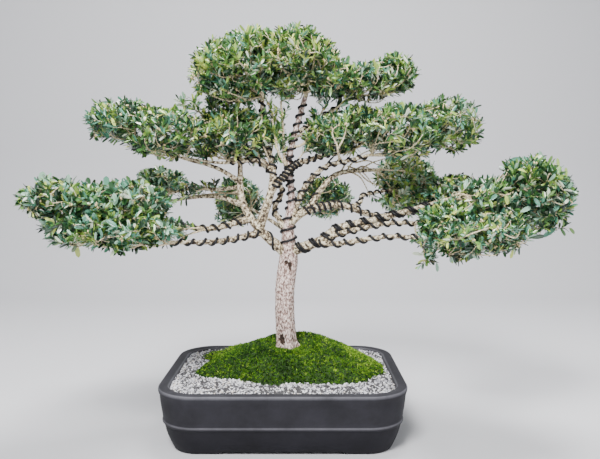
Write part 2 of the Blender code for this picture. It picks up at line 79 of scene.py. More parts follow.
END_DEPTH, TWIG_DEPTH = 0.96, 0.98  # how near its mass's outline a twig's end and its run may come

# name: (radius at the root, radius at the tip, waypoints in millimetres). The first waypoint is
# inside the limb that it grows from, and the last is where its foliage begins.
LIMBS = {
    "left_bough": (8.6, 3.6, ((4, 3, 301), (-44, -6, 345), (-72, 2, 393), (-76, 10, 468))),
    "right_bough": (
        8.6,
        3.2,
        ((10, 3, 304), (62, -14, 324), (93, -22, 346), (164, -38, 364), (264, -54, 394)),
    ),
    "left_inner_bough": (
        7.6,
        3.2,
        ((-43, -6, 344), (-20, -14, 415), (-22, -2, 463), (-36, -2, 500), (-36, -8, 562)),
    ),
    "right_fork": (
        6.8,
        3.0,
        ((8, 4, 352), (38, -4, 374), (95, 8, 384), (158, 24, 365), (214, 34, 368), (252, 38, 378)),
    ),
    "twisting_bough": (
        4.6,
        2.6,
        ((0, 6, 346), (-17, 14, 377), (-5, 17, 412), (-42, 10, 457), (-92, 10, 462)),
    ),
    "upper_left_bough": (4.0, 2.4, ((-75, 8, 424), (-115, -6, 448), (-161, -18, 461))),
    "lower_left_bough": (5.4, 2.8, ((-60, -5, 361), (-128, -36, 346), (-206, -74, 364))),
    "lowest_left_bough": (5.2, 2.8, ((-38, -5, 338), (-105, -44, 326), (-182, -88, 328))),
    "back_left_bough": (4.4, 2.4, ((-68, -1, 384), (-122, 40, 398), (-190, 80, 393), (-235, 100, 380))),
    "back_left_side_bough": (3.6, 2.2, ((-74, 6, 416), (-116, 36, 411), (-172, 70, 412), (-208, 86, 404))),
    "bare_right_bough": (5.6, 3.0, ((42, -4, 376), (65, 12, 412), (96, 30, 439), (162, 64, 446))),
    "upper_right_bough": (
        4.8,
        2.8,
        ((13, 3, 362), (37, 14, 417), (71, 6, 450), (106, -4, 459), (142, -12, 468)),
    ),
    "knotted_right_bough": (4.4, 2.6, ((8, 6, 450), (59, 14, 467), (119, 28, 483))),
    "middle_right_bough": (4.8, 2.6, ((62, -15, 325), (103, -34, 340), (170, -54, 356), (231, -70, 357))),
    "lowest_right_bough": (4.8, 2.6, ((50, -10, 320), (94, -40, 322), (164, -76, 336), (228, -100, 336))),
    "crooked_right_bough": (3.4, 2.2, ((118, 14, 382), (134, 24, 389), (139, 34, 400), (187, 62, 409))),
    "crown_side_bough": (3.2, 2.2, ((26, 8, 510), (54, 20, 530), (92, 27, 554), (118, 27, 570))),
    "rear_left_bough": (3.8, 2.4, ((2, 6, 340), (-22, 60, 352), (-62, 112, 372))),
    "rear_right_bough": (3.8, 2.4, ((12, 6, 368), (30, 62, 374), (60, 124, 382))),
}

# (radius, waypoint) from the flat cut at the moss, up through the forks to the crown.
TRUNK = (
    (22.0, (7, 0, 137)), (18.0, (4, -1, 152)), (16.6, (1, -3, 200)), (16.6, (2, -1, 246)),
    (16.2, (7, 2, 284)), (13.6, (8, 3, 312)), (10.4, (7, 4, 340)), (8.0, (10, 5, 366)), (6.0, (13, 6, 400)),
    (5.4, (8, 6, 448)), (4.8, (13, 6, 484)), (4.2, (36, 8, 568)),
)

# Limbs that only the dressed part has, in the same form as LIMBS.
SMALL_LIMBS = {
    "crossing_bough": (
        4.4,
        3.6,
        ((-20, -14, 408), (-10, -17, 422), (1, -13, 434), (12, -8, 447), (30, 4, 459)),
    ),
    "level_left_bough": (
        3.4,
        1.6,
        (
            (-22, -5, 446), (-37, -13, 460), (-65, -17, 459), (-104, -18, 456), (-148, -20, 461),
            (-182, -24, 466),
        ),
    ),
}


def unit(vector):
    return vector / np.linalg.norm(vector)


def units(rows):
    return rows / np.linalg.norm(rows, axis=-1, keepdims=True)


def run_along(line):
    """How far along a line each of its points lies."""
    return np.concatenate([[0], np.cumsum(np.linalg.norm(np.diff(line, axis=0), axis=1))])


def smooth(samples, steps):
    """A Catmull-Rom curve through the samples, each an array row, with steps points a span."""
    rows = np.array(samples, float)
    rows = np.vstack([2 * rows[0] - rows[1], rows, 2 * rows[-1] - rows[-2]])
    out = []
    for i in range(1, len(rows) - 2):
        a, b, c, d = rows[i - 1 : i + 3]
        for t in np.arange(steps) / steps:
            point = 2 * b + (c - a) * t + (2 * a - 5 * b + 4 * c - d) * t * t
            out.append(0.5 * (point + (3 * b - a - 3 * c + d) * t**3))
    out.append(rows[-2])
    return np.array(out)


def limb_line(name):
    """Centre points and radii of a limb, in metres."""
    if name == "trunk":
        line = smooth([(*p, r) for r, p in TRUNK], LINE_STEPS)
        return line[:, :3] * MM, line[:, 3] * MM
    root, tip, waypoints = LIMBS.get(name) or SMALL_LIMBS[name]
    line = smooth(waypoints, LINE_STEPS) * MM
    along = run_along(line)
    return line, (root + (tip - root) * (along / along[-1]) ** TAPER) * MM


def frames(line, upright=0.0):
    """Two unit vectors across the line at each point, carried along it without twist. Over the
    first stretch, upright metres high, they turn from level to square with the line."""
    tangents = units(np.gradient(line, axis=0))
    if upright:
        share = np.clip((line[:, 2] - line[0][2]) / upright, 0, 1)[:, None]
        tangents = units(tangents * share + np.array([0, 0, 1.0]) * (1 - share))
    start = np.array([0.0, 0.0, 1.0]) if abs(tangents[0][2]) < 0.9 else np.array([1.0, 0.0, 0.0])
    across = []
    for tangent in tangents:
        start = unit(start - tangent * (start @ tangent))
        across.append((start, np.cross(tangent, start)))
    return across


def pot_ring(inset, z, steps=6):
    """The pot's rounded-rectangular outline, drawn in by inset, at height z."""
    half_x, half_y = POT_WIDTH / 2 - inset, POT_DEPTH / 2 - inset
    corner = max(POT_CORNER - inset, 8 * MM)
    ring = []
    for quarter in range(4):
        cx = (half_x - corner) * (1 if quarter in (0, 3) else -1)
        cy = (half_y - corner) * (1 if quarter in (0, 1) else -1)
        for step in range(steps + 1):
            turn = math.radians(90 * (quarter + step / steps))
            ring.append((cx + corner * math.cos(turn), cy + corner * math.sin(turn), z))
    return ring


def inner_inset(z):
    """How far the pot's inside wall lies in from the rim's outline at height z."""
    return RIM_WIDTH + WALL_DRAFT * (POT_HEIGHT - z) / (POT_HEIGHT - FLOOR_TOP)


def mound_reach(turn):
    """The moss's uneven edge, a rounded oblong, as a share of its half axes."""
    square = abs(math.cos(turn)) ** MOUND_POWER + abs(math.sin(turn)) ** MOUND_POWER
    uneven = 0.02 * math.sin(3 * turn + 0.6) + 0.02 * math.sin(7 * turn + 1.0)
    return square ** (-1 / MOUND_POWER) + uneven


def mound_point(share, turn, z_foot, z_top):
    """A point of the mound's surface: share 1 is its edge, smaller shares lie further up."""
    crest = z_top + MOUND_BACK * max(0, math.cos(turn - math.radians(68)))
    reach = share * mound_reach(turn)
    x = MOUND_X * share + MOUND_HALF_X * reach * math.cos(turn)
    y = MOUND_Y * share + MOUND_HALF_Y * reach * math.sin(turn)
    rise = 1 - share**2.1
    return x, y, z_foot + MOUND_EDGE * (share < 1) + (crest - z_foot - MOUND_EDGE) * rise


# (turn in degrees, share) by which the moss has crept out over the gravel or drawn back from it
MOUND_LOBES = (
    (-162, 1.07), (-150, 1.0), (-140, 0.9), (-128, 0.8), (-112, 0.93), (-100, 1.02), (-88, 0.86),
    (-72, 1.0), (-50, 1.05), (-30, 0.97), (-19, 1.08), (-3, 1.01), (40, 0.97), (90, 1.0), (132, 1.0),
    (143, 1.2), (154, 0.87), (172, 0.98),
)


def mound_edge(turn):
    """Where the moss ends, as a share of the solid's outline in that direction."""
    turns, shares = zip(*MOUND_LOBES)
    return float(np.interp(math.degrees(turn), turns, shares, period=360))


# ---------------------------------------------------------------- the foliage's spaces and the twig rule

# name: (the limb whose tip carries it, then lobes: centre and half axes in millimetres). A mass
# keeps inside its lobes.
MASSES = {
    "crown_left": ("left_inner_bough", ((-84, -12, 604), (74, 82, 58)), ((-50, -4, 628), (62, 70, 52))),
    "crown_middle": ("trunk", ((24, 12, 624), (73, 88, 62)), ((74, 16, 598), (50, 60, 38))),
    "crown_right": ("crown_side_bough", ((150, 26, 596), (62, 56, 38)), ((188, 22, 608), (40, 42, 34))),
    "upper_left_inner": ("twisting_bough", ((-78, 10, 504), (62, 70, 50)), ((-130, 6, 500), (50, 66, 40))),
    "upper_left_outer": (
        "upper_left_bough",
        ((-196, -26, 502), (72, 76, 42)),
        ((-264, -30, 522), (61, 64, 36)),
    ),
    "upper_right_inner": (
        "knotted_right_bough",
        ((92, 24, 504), (60, 66, 38)),
        ((132, 30, 522), (56, 62, 34)),
    ),
    "upper_right_outer": (
        "upper_right_bough",
        ((200, -12, 506), (74, 82, 48)),
        ((278, -4, 518), (60, 68, 47)),
    ),
    "lower_left_upper": (
        "lower_left_bough",
        ((-250, -96, 386), (80, 78, 38)),
        ((-338, -112, 394), (60, 68, 34)),
    ),
    "lower_left_lower": (
        "lowest_left_bough",
        ((-240, -124, 350), (76, 66, 34)),
        ((-300, -130, 352), (60, 60, 30)),
    ),
    "back_left_lower": ("back_left_bough", ((-262, 124, 388), (44, 52, 42))),
    "back_left_upper": ("back_left_side_bough", ((-236, 104, 422), (46, 46, 28))),
    "rear_left": ("rear_left_bough", ((-94, 150, 384), (48, 56, 48))),
    "rear_right": ("rear_right_bough", ((76, 164, 392), (54, 56, 40))),
    "back_right_upper": ("bare_right_bough", ((224, 96, 434), (58, 60, 38))),
    "back_right_lower": ("crooked_right_bough", ((222, 80, 392), (46, 48, 28))),
    "lower_right_end": ("right_bough", ((322, -62, 382), (70, 66, 42)), ((398, -70, 402), (64, 76, 64))),
    "lower_right_middle": ("right_fork", ((306, 18, 402), (66, 62, 40)), ((352, 4, 392), (52, 54, 40))),
    "lower_right_inner": ("middle_right_bough", ((262, -92, 358), (50, 52, 34))),
    "lower_right_low": (
        "lowest_right_bough",
        ((268, -124, 338), (62, 54, 32)),
        ((330, -120, 346), (52, 50, 34)),
    ),
}

FIRST_SEED = 100  # the masses' seeds number on from it, except those of two masses
SEEDS = {"upper_right_inner": 304, "upper_left_inner": 305}


def lobes_of(name):
    return [(np.array(c) * MM, np.array(r) * MM) for c, r in MASSES[name][1:]]


def depth_in(name, points):
    """0 at the heart of a mass, 1 on its outline, for each point."""
    points = np.atleast_2d(points)
    shares = [np.sqrt((((points - c) / r) ** 2).sum(axis=1)) for c, r in lobes_of(name)]
    return np.min(shares, axis=0)


def own_space(name, points, most):
    """Whether the points lie in this mass, no further out than most, and not deeper in another."""
    mine = depth_in(name, points)
    if (mine > most).any():
        return False
    others = (depth_in(other, points) for other in MASSES if other != name)
    return all((mine + OWN_MARGIN < depth).all() for depth in others)


def spread(name, count, rng, shell=0.0):
    """Points spread evenly through a mass: of several tries, each takes the one furthest off."""
    lobes = lobes_of(name)
    weights = np.array([r.prod() for _, r in lobes])
    chosen = []
    while len(chosen) < count:
        best, best_gap = None, -1.0
        for _ in range(TRIES):
            centre, radii = lobes[rng.choice(len(lobes), p=weights / weights.sum())]
            way = unit(rng.normal(size=3))
            point = centre + radii * way * (shell + (1 - shell) * rng.random()) ** (1 / 3) * END_REACH
            if not own_space(name, point, END_DEPTH):
                continue
            gap = min((np.linalg.norm(point - other) for other in chosen), default=1.0)
            if gap > best_gap:
                best, best_gap = point, gap
        if best is not None:
            chosen.append(best)
    return chosen


def limb_segments():
    """Every limb as straight pieces: starts, ends and radii, in rows."""
    starts, ends, radii = [], [], []
    for name in ("trunk", *LIMBS):
        line, widths = limb_line(name)
        starts.append(line[:-1])
        ends.append(line[1:])
        radii.append(np.maximum(widths[:-1], widths[1:]) * (1.2 if name == "trunk" else 1.0))
    return np.vstack(starts), np.vstack(ends), np.concatenate(radii)


def clear_of(points, limbs, extra):
    """Whether all points keep their distance from every straight piece of limb."""
    starts, ends, radii = limbs
    ways = ends - starts
    offsets = np.atleast_2d(points)[:, None] - starts
    share = np.clip((offsets * ways).sum(axis=2) / (ways**2).sum(axis=1), 0, 1)
    gaps = np.linalg.norm(offsets - share[:, :, None] * ways, axis=2)
    return bool((gaps > radii + extra).all())


def twig_fits(name, start, a, b, limbs):
    """Whether a twig from a to b stays in its mass and clear of the limbs. The stem at start
    comes from just outside the mass and from against its bough, so it is let off nearby."""
    samples = a + (b - a) * np.linspace(0.1, 1, 10)[:, None]
    reach = np.linalg.norm(samples - start, axis=1)
    inside = own_space(name, samples[reach > 4 * STEM_RUN], TWIG_DEPTH)
    return inside and clear_of(samples[reach > STEM_RUN], limbs, TWIG_ROOM)


def grow(name, start, points, parents, ways, targets, limbs):
    """Joins each target to the growing twigs where that takes the least new wood, with the way
    back to the stem counted in part, so that twigs fork as a branch does. Adds to the points, to
    each point's parent and to each point's way back."""
    for target in sorted(targets, key=lambda p: np.linalg.norm(p - start)):
        reach = np.linalg.norm(np.array(points) - target, axis=1)
        for best in np.argsort(reach + WAY_BACK * np.array(ways))[:6]:
            if best > 0 and twig_fits(name, start, points[best], target, limbs):
                points.append(target)
                parents.append(int(best))
                ways.append(ways[best] + reach[best])
                break


def chains(parents):
    """Splits the twigs into lines, each following the child that carries most."""
    carried = [1] * len(parents)
    for i in range(len(parents) - 1, 0, -1):
        carried[parents[i]] += carried[i]
    children = [[] for _ in parents]
    for i, parent in enumerate(parents[1:], 1):
        children[parent].append(i)
    lines, todo = [], [[0]]
    while todo:
        line = todo.pop()
        while children[line[-1]]:
            order = sorted(children[line[-1]], key=lambda i: -carried[i])
            todo += [[line[-1], other] for other in order[1:]]
            line.append(order[0])
        lines.append(line)
    return lines, carried


def count_for(name, counts):
    """A number between the two counts, by the bulk of the mass."""
    bulk = [sum(np.prod(r) for _, r in lobes_of(other)) for other in MASSES]
    share = sum(np.prod(r) for _, r in lobes_of(name)) / max(bulk)
    return round(counts[0] + (counts[1] - counts[0]) * share)


# ---------------------------------------------------------------- materials


def linear(red, green, blue):
    """An sRGB colour of 0 to 255 as the linear colour that a shader takes."""
    shares = [value / 255 for value in (red, green, blue)]
    return tuple(s / 12.92 if s <= 0.04045 else ((s + 0.055) / 1.055) ** 2.4 for s in shares)


def plain(name, colour, roughness, specular=0.5):
    made = bpy.data.materials.new(name)
    made.use_nodes = True
    shader = made.node_tree.nodes["Principled BSDF"]
    shader.inputs["Base Color"].default_value = (*linear(*colour), 1)
    shader.inputs["Roughness"].default_value = roughness
    shader.inputs["Specular IOR Level"].default_value = specular
    return made


def noise_node(nodes, scale, detail, roughness):
    grain = nodes.new("ShaderNodeTexNoise")
    grain.inputs["Scale"].default_value = scale
    grain.inputs["Detail"].default_value = detail
    grain.inputs["Roughness"].default_value = roughness
    return grain


def ramp_node(nodes, stops):
    """A colour ramp through the stops, (place, linear colour)."""
    ramp = nodes.new("ShaderNodeValToRGB")
    for i, (at, colour) in enumerate(stops):
        stop = ramp.color_ramp.elements[i] if i < 2 else ramp.color_ramp.elements.new(at)
        stop.position = at
        stop.color = (*colour, 1)
    return ramp


def raise_surface(made, grain, strength, distance):
    """Lets a noise raise a material's surface."""
    nodes, links = made.node_tree.nodes, made.node_tree.links
    relief = nodes.new("ShaderNodeBump")
    relief.inputs["Strength"].default_value = strength
    relief.inputs["Distance"].default_value = distance
    links.new(grain.outputs["Fac"], relief.inputs["Height"])
    links.new(relief.outputs["Normal"], nodes["Principled BSDF"].inputs["Normal"])


def mottled(name, stops, scale, roughness, bump=0.3, depth=0.4 * MM, stretch=(1, 1, 1), detail=6):
    """A material whose colour runs through the stops, (place, colour), with a fine noise that also
    raises its surface."""
    made = plain(name, stops[0][1], roughness)
    nodes, links = made.node_tree.nodes, made.node_tree.links
    place = nodes.new("ShaderNodeTexCoord")
    mapping = nodes.new("ShaderNodeMapping")
    mapping.inputs["Scale"].default_value = stretch
    grain = noise_node(nodes, scale, detail, 0.65)
    ramp = ramp_node(nodes, [(at, linear(*colour)) for at, colour in stops])
    links.new(place.outputs["Object"], mapping.inputs["Vector"])
    links.new(mapping.outputs["Vector"], grain.inputs["Vector"])
    links.new(grain.outputs["Fac"], ramp.inputs["Fac"])
    links.new(ramp.outputs["Color"], nodes["Principled BSDF"].inputs["Base Color"])
    raise_surface(made, grain, bump, depth)
    return made


# ---------------------------------------------------------------- mesh helpers


def mesh_piece(name, points, faces, finishes, finish_of_face=None, smooth=True):
    """A mesh object from points and equal-sided faces, each with the finish of its number."""
    faces = np.asarray(faces, np.int32)
    sides = faces.shape[1]
    mesh = bpy.data.meshes.new(name)
    mesh.vertices.add(len(points))
    mesh.vertices.foreach_set("co", np.asarray(points, np.float32).ravel())
    mesh.loops.add(faces.size)
    mesh.loops.foreach_set("vertex_index", faces.ravel())
    mesh.polygons.add(len(faces))
    mesh.polygons.foreach_set("loop_start", np.arange(len(faces), dtype=np.int32) * sides)
    if finish_of_face is not None:
        mesh.polygons.foreach_set("material_index", np.asarray(finish_of_face, np.int32))
    mesh.polygons.foreach_set("use_smooth", np.full(len(faces), smooth))
    mesh.update(calc_edges=True)
    mesh.validate()
    for finish in finishes:
        mesh.materials.append(finish)
    piece = bpy.data.objects.new(name, mesh)
    bpy.context.scene.collection.objects.link(piece)
    return piece


def settle(piece, slot, *replaced):
    """Makes a piece part of the object: it rides on the one body and may stand for CAD nodes."""
    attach(piece, "root")
    if replaced:
        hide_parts(*replaced)


def grid_faces(rows, columns):
    """Triangles between rows of points that each close on themselves."""
    index = np.arange(rows * columns).reshape(rows, columns)
    after = np.roll(index, -1, axis=1)
    a, b, c, d = index[:-1].ravel(), after[:-1].ravel(), after[1:].ravel(), index[1:].ravel()
    return np.vstack([np.column_stack([a, b, c]), np.column_stack([a, c, d])])


def tube_faces(rows, columns):
    """The same, with a fan at each end to one of two points that follow the rows."""
    ring = np.arange(columns)
    last = ring + (rows - 1) * columns
    low_fan = np.column_stack([np.roll(ring, -1), ring, np.full(columns, rows * columns)])
    high_fan = np.column_stack([last, np.roll(last, -1), np.full(columns, rows * columns + 1)])
    return np.vstack([grid_faces(rows, columns), low_fan, high_fan])


class Tubes:
    """Round lengths of wood or wire, gathered into one mesh."""

    def __init__(self):
        self.points, self.faces, self.count = [], [], 0

    def add(self, line, radii, sides):
        line = np.asarray(line, float)
        radii = np.broadcast_to(radii, len(line))
        angles = 2 * math.pi * np.arange(sides) / sides
        across = np.array(frames(line))
        ring = np.cos(angles)[None, :, None] * across[:, None, 0]
        ring = ring + np.sin(angles)[None, :, None] * across[:, None, 1]
        rings = line[:, None] + ring * radii[:, None, None]
        self.points += [rings.reshape(-1, 3), line[:1], line[-1:]]
        self.faces.append(tube_faces(len(line), sides) + self.count)
        self.count += len(line) * sides + 2

    def piece(self, name, finish):
        return mesh_piece(name, np.vstack(self.points), np.vstack(self.faces), [finish])


# ---------------------------------------------------------------- pot

# (inset from the rim's outline, height) in millimetres, up the outside
POT_PROFILE = (
    (27, 0), (25, 0.6), (23.6, 2), (18, 14), (14.6, 22), (12, 30), (9.6, 40), (8.9, 42.2), (7.4, 43.4),
    (6.3, 44.8), (6.1, 46.4), (6.6, 47.8), (7.2, 49.6), (6.4, 56), (4.5, 68), (3.2, 78), (2.2, 88),
    (0.9, 91), (0.1, 94), (0, 96), (0.5, 98.4), (1.6, 99.6), (3.4, 100),
)
CORNER_STEPS = 14  # edges in each rounded corner of the pot
CUT_BELOW = -5 * MM  # how far under the floor the cutters start
UNDER_INSET = 43 * MM  # of the hollow underneath, from the rim's outline
CRISP_ANGLE = 38  # degrees from which an edge of the pot isn't smoothed


def closed_solid(name, rings):
    """A solid over rings of equal length, capped at both ends."""
    count = len(rings[0])
    faces = [list(face) for face in grid_faces(len(rings), count)]
    faces += [list(range(count))[::-1], list(range((len(rings) - 1) * count, len(rings) * count))]
    mesh = bpy.data.meshes.new(name)
    mesh.from_pydata([point for ring in rings for point in ring], [], faces)
    made = bpy.data.objects.new(name, mesh)
    bpy.context.scene.collection.objects.link(made)
    return made


def make_pot(finish):
    """The pot with its mouldings, cut hollow underneath and between its feet."""
    rings = [pot_ring(inset * MM, z * MM, CORNER_STEPS) for inset, z in POT_PROFILE]
    for inset, z in ((RIM_WIDTH - 3 * MM, POT_HEIGHT), (RIM_WIDTH - 0.8 * MM, POT_HEIGHT - 1 * MM)):
        rings.append(pot_ring(inset, z, CORNER_STEPS))
    for z in (POT_HEIGHT - 3 * MM, 60 * MM, FLOOR_TOP):
        rings.append(pot_ring(inner_inset(z), z, CORNER_STEPS))
    pot = closed_solid("pot_dressed", rings)
    tidy = bmesh.new()
    tidy.from_mesh(pot.data)
    bmesh.ops.recalc_face_normals(tidy, faces=tidy.faces)
    tidy.to_mesh(pot.data)
    tidy.free()
    pot.data.materials.append(finish)
    cutters = [under_cutter(), foot_channel(FOOT_SPAN_X, POT_DEPTH, False)]
    cutters.append(foot_channel(FOOT_SPAN_Y, POT_WIDTH, True))
    for cutter in cutters:
        boolean = pot.modifiers.new("cut", "BOOLEAN")
        boolean.operation = "DIFFERENCE"
        boolean.object = cutter
    graph = bpy.context.evaluated_depsgraph_get()
    cut = bpy.data.meshes.new_from_object(pot.evaluated_get(graph))
    pot.modifiers.clear()
    pot.data = cut
    for cutter in cutters:
        bpy.data.objects.remove(cutter)
    cut.shade_smooth()
    cut.set_sharp_from_angle(angle=math.radians(CRISP_ANGLE))
    settle(pot, "dark_clay", "pot")


def under_cutter():
    """A cutter that hollows the pot's underside within its feet."""
    return closed_solid("under", [pot_ring(UNDER_INSET, z) for z in (CUT_BELOW, FOOT_HEIGHT)])


def foot_channel(width, length, along_x):
    """A cutter with sloping ends that clears the span between two feet."""
    slope = 8 * MM
    rings = []
    for z, half in ((CUT_BELOW, width / 2 + slope), (FOOT_HEIGHT, width / 2)):
        ring = [(-half, -length), (half, -length), (half, length), (-half, length)]
        if along_x:
            ring = [(-y, x) for x, y in ring]
        rings.append([(x, y, z) for x, y in ring])
    return closed_solid("channel", rings)


# (height in millimetres, how much pale colour the clay shows there), for the band and the rim: partly a
# dusting, partly a painted highlight along the rim's outer lip and the moulded band
DUST_AND_HIGHLIGHT = (
    (42, 0), (45, 0.1), (46.5, 0.5), (48, 0.8), (49.5, 0.08), (85, 0.06), (94, 0.1), (97, 0.7), (99, 0.9),
    (99.8, 0.16), (100.5, 0.14),
)
DUST_AND_HIGHLIGHT_TOP = 101  # height in millimetres at the end of the ramp of dusting and painted highlight


def math_node(nodes, operation):
    node = nodes.new("ShaderNodeMath")
    node.operation = operation
    return node


def clay_material():
    """Dark unglazed clay: a fine grain, with a pale dusting and a painted highlight along the rim and the
    moulded band.
    """
    made = plain("clay", (25, 23, 30), 0.66, 0.22)
    nodes, links = made.node_tree.nodes, made.node_tree.links
    place = nodes.new("ShaderNodeTexCoord")
    grain = noise_node(nodes, 420, 4, 0.5)
    cloud = noise_node(nodes, 14, 7, 0.7)
    tone = ramp_node(nodes, ((0.3, linear(15, 14, 19)), (0.75, linear(32, 31, 38))))
    height = nodes.new("ShaderNodeSeparateXYZ")
    # pale by height: a dusting, and a painted highlight on the rim's outer lip and the moulded band, with
    # the rim's top kept dark
    amounts = [(0.0, (0, 0, 0)), (0.3, (0, 0, 0))]
    amounts += [(z / DUST_AND_HIGHLIGHT_TOP, (amount, amount, amount)) for z, amount in DUST_AND_HIGHLIGHT]
    dust_and_highlight_by_height = ramp_node(nodes, amounts)
    scale = math_node(nodes, "DIVIDE")
    scale.inputs[1].default_value = DUST_AND_HIGHLIGHT_TOP / 1000
    patchy = math_node(nodes, "MULTIPLY")
    # mixes in the pale colour of the dusting and of the painted highlight
    dust_and_highlight = nodes.new("ShaderNodeMix")
    dust_and_highlight.data_type = "RGBA"
    dust_and_highlight.inputs["B"].default_value = (*linear(128, 127, 134), 1)
    for node in (grain, cloud, height):
        links.new(place.outputs["Object"], node.inputs["Vector"])
    links.new(cloud.outputs["Fac"], tone.inputs["Fac"])
    links.new(height.outputs["Z"], scale.inputs[0])
    links.new(scale.outputs[0], dust_and_highlight_by_height.inputs["Fac"])
    links.new(dust_and_highlight_by_height.outputs["Color"], patchy.inputs[0])
    links.new(cloud.outputs["Fac"], patchy.inputs[1])
    links.new(patchy.outputs[0], dust_and_highlight.inputs["Factor"])
    links.new(tone.outputs["Color"], dust_and_highlight.inputs["A"])
    links.new(dust_and_highlight.outputs["Result"], nodes["Principled BSDF"].inputs["Base Color"])
    raise_surface(made, grain, 0.35, 0.25 * MM)
    return made


# ---------------------------------------------------------------- gravel and moss


def in_mound(x, y, grown):
    """Whether the moss covers a place, with its outline grown by a share."""
    dx, dy = (x - MOUND_X) / MOUND_HALF_X, (y - MOUND_Y) / MOUND_HALF_Y
    turn = math.atan2(dy, dx)
    return math.hypot(dx, dy) < grown * mound_reach(turn) * mound_edge(turn)


def in_pot(x, y, margin):
    """Whether a place lies inside the pot's wall at the gravel's height."""
    inset = inner_inset(GRAVEL_TOP) + margin
    half_x, half_y, corner = POT_WIDTH / 2 - inset, POT_DEPTH / 2 - inset, POT_CORNER - inset
    over_x, over_y = abs(x) - (half_x - corner), abs(y) - (half_y - corner)
    if over_x > 0 and over_y > 0:
        return math.hypot(over_x, over_y) < corner
    return over_x < corner and over_y < corner


CHIP_SPACING = 3.4 * MM
CHIP_LOW, CHIP_HIGH = 1.2 * MM, 2.8 * MM  # half sizes
CHIP_LAYERS = ((-0.6 * MM, 1.0), (1.0 * MM, 0.32))  # (height over the bed, share of places taken)
CHIP_SHARES = (0.32, 0.27, 0.18, 0.1, 0.13)  # how often each tone of stone falls
CHIP_MARGIN = 1.6 * MM  # from the pot's wall
MOSS_BARE = 0.97  # share of the moss's outline within which no chips lie


def make_gravel(finishes):
    """Angular chips of pale stone, laid close over the bed in uneven rows."""
    rng = np.random.default_rng(11)
    template = bmesh.new()
    bmesh.ops.create_icosphere(template, subdivisions=1, radius=1.0)
    ball = np.array([v.co[:] for v in template.verts])
    faces = np.array([[v.index for v in f.verts] for f in template.faces])
    template.free()
    places = []
    for lift, taken in CHIP_LAYERS:
        for x in np.arange(-POT_WIDTH / 2, POT_WIDTH / 2, CHIP_SPACING):
            for y in np.arange(-POT_DEPTH / 2, POT_DEPTH / 2, CHIP_SPACING):
                if taken < 1 and rng.random() > taken:
                    continue
                px, py = np.array([x, y]) + rng.uniform(-0.5, 0.5, 2) * CHIP_SPACING
                if in_pot(px, py, CHIP_MARGIN) and not in_mound(px, py, MOSS_BARE):
                    places.append((px, py, GRAVEL_TOP + lift + rng.uniform(-0.5, 0.6) * MM))
    places = np.array(places)
    count = len(places)
    shapes = ball[None] * rng.uniform(0.55, 1.2, (count, len(ball), 1))
    shapes = shapes * rng.uniform(CHIP_LOW, CHIP_HIGH, (count, 1, 3))
    turns = np.linalg.qr(rng.normal(size=(count, 3, 3)))[0]
    points = np.einsum("cij,cpj->cpi", turns, shapes) + places[:, None]
    index = faces[None] + (np.arange(count) * len(ball))[:, None, None]
    kinds = np.repeat(rng.choice(len(finishes), count, p=CHIP_SHARES), len(faces))
    points, index = points.reshape(-1, 3), index.reshape(-1, 3)
    settle(mesh_piece("gravel_chips", points, index, finishes, kinds, False), "gravel")


MOUND_CORE = 0.38  # share within which the cushion sinks to the level spot at the trunk's foot
MOUND_SKIRT = 1.02  # share at which the cushion's edge is tucked under the gravel
MOUND_SIDES = 150


def mound_surface(share, turn):
    """A point of the moss cushion, with its lumps and the lobes of its edge."""
    x, y, z = mound_point(max(share, MOUND_CORE), turn, GRAVEL_TOP + GAP, MOUND_TOP - GAP)
    out = 1 + (mound_edge(turn) - 1) * share**2
    x, y = MOUND_X + (x - MOUND_X) * out, MOUND_Y + (y - MOUND_Y) * out
    if share < MOUND_CORE:
        part = share / MOUND_CORE
        level_x, level_y = FOOT_X + MOUND_FLAT * math.cos(turn), MOUND_FLAT * math.sin(turn)
        x, y = level_x + (x - level_x) * part, level_y + (y - level_y) * part
        z = MOUND_TOP + (z - MOUND_TOP) * part
    lump = noise.noise(Vector((x, y, 0)) * 70) * 2.0 * MM
    lump += noise.noise(Vector((x, y, 5)) * 220) * 1.1 * MM
    return x, y, z + lump * min(1, (MOUND_SKIRT - share) / 0.05)


def make_mound(finish):
    """The body of the moss, under its tufts, drawn in to the trunk's foot at the top."""
    turns = [2 * math.pi * i / MOUND_SIDES for i in range(MOUND_SIDES)]
    rings = []
    for share in (MOUND_SKIRT, 1.0, 0.985, 0.96, 0.92, *np.linspace(0.88, 0.4, 22), 0.3, 0.2, 0.1):
        rings.append([mound_surface(share, turn) for turn in turns])
    rings[0] = [(x, y, GRAVEL_TOP - 1 * MM) for x, y, _ in rings[0]]
    for radius in (MOUND_FLAT, 23 * MM, 14 * MM):
        rings.append([(FOOT_X + radius * math.cos(t), radius * math.sin(t), MOUND_TOP) for t in turns])
    points = [point for ring in rings for point in ring]
    faces = grid_faces(len(rings), MOUND_SIDES)
    settle(mesh_piece("moss_cushion", points, faces, [finish]), "moss", "moss_mound")


TUFTS = 12000
BLADES = 6  # in each tuft
BLADE_LOW, BLADE_HIGH = 2.0, 4.6  # lengths in millimetres
BLADE_HALF = 0.75 * MM  # half the width of a blade at its root
LEVEL_TUFTS = 0.07  # share of the tufts that stand on the level spot round the trunk's foot
MOSS_TONE, MOSS_MIXED = 1.9, 1.15  # middle tone of the moss, and how far tufts stray from it
# (x, y, radius, how much lighter) of drifts in the moss, in millimetres
DRIFTS = (
    (-112, 52, 42, 1.3), (128, 18, 58, 1.5), (52, -30, 48, 0.8), (92, -8, 16, -1.6), (-70, -6, 52, -0.5),
    (14, -62, 24, -1.0), (62, 62, 34, -0.7),
)


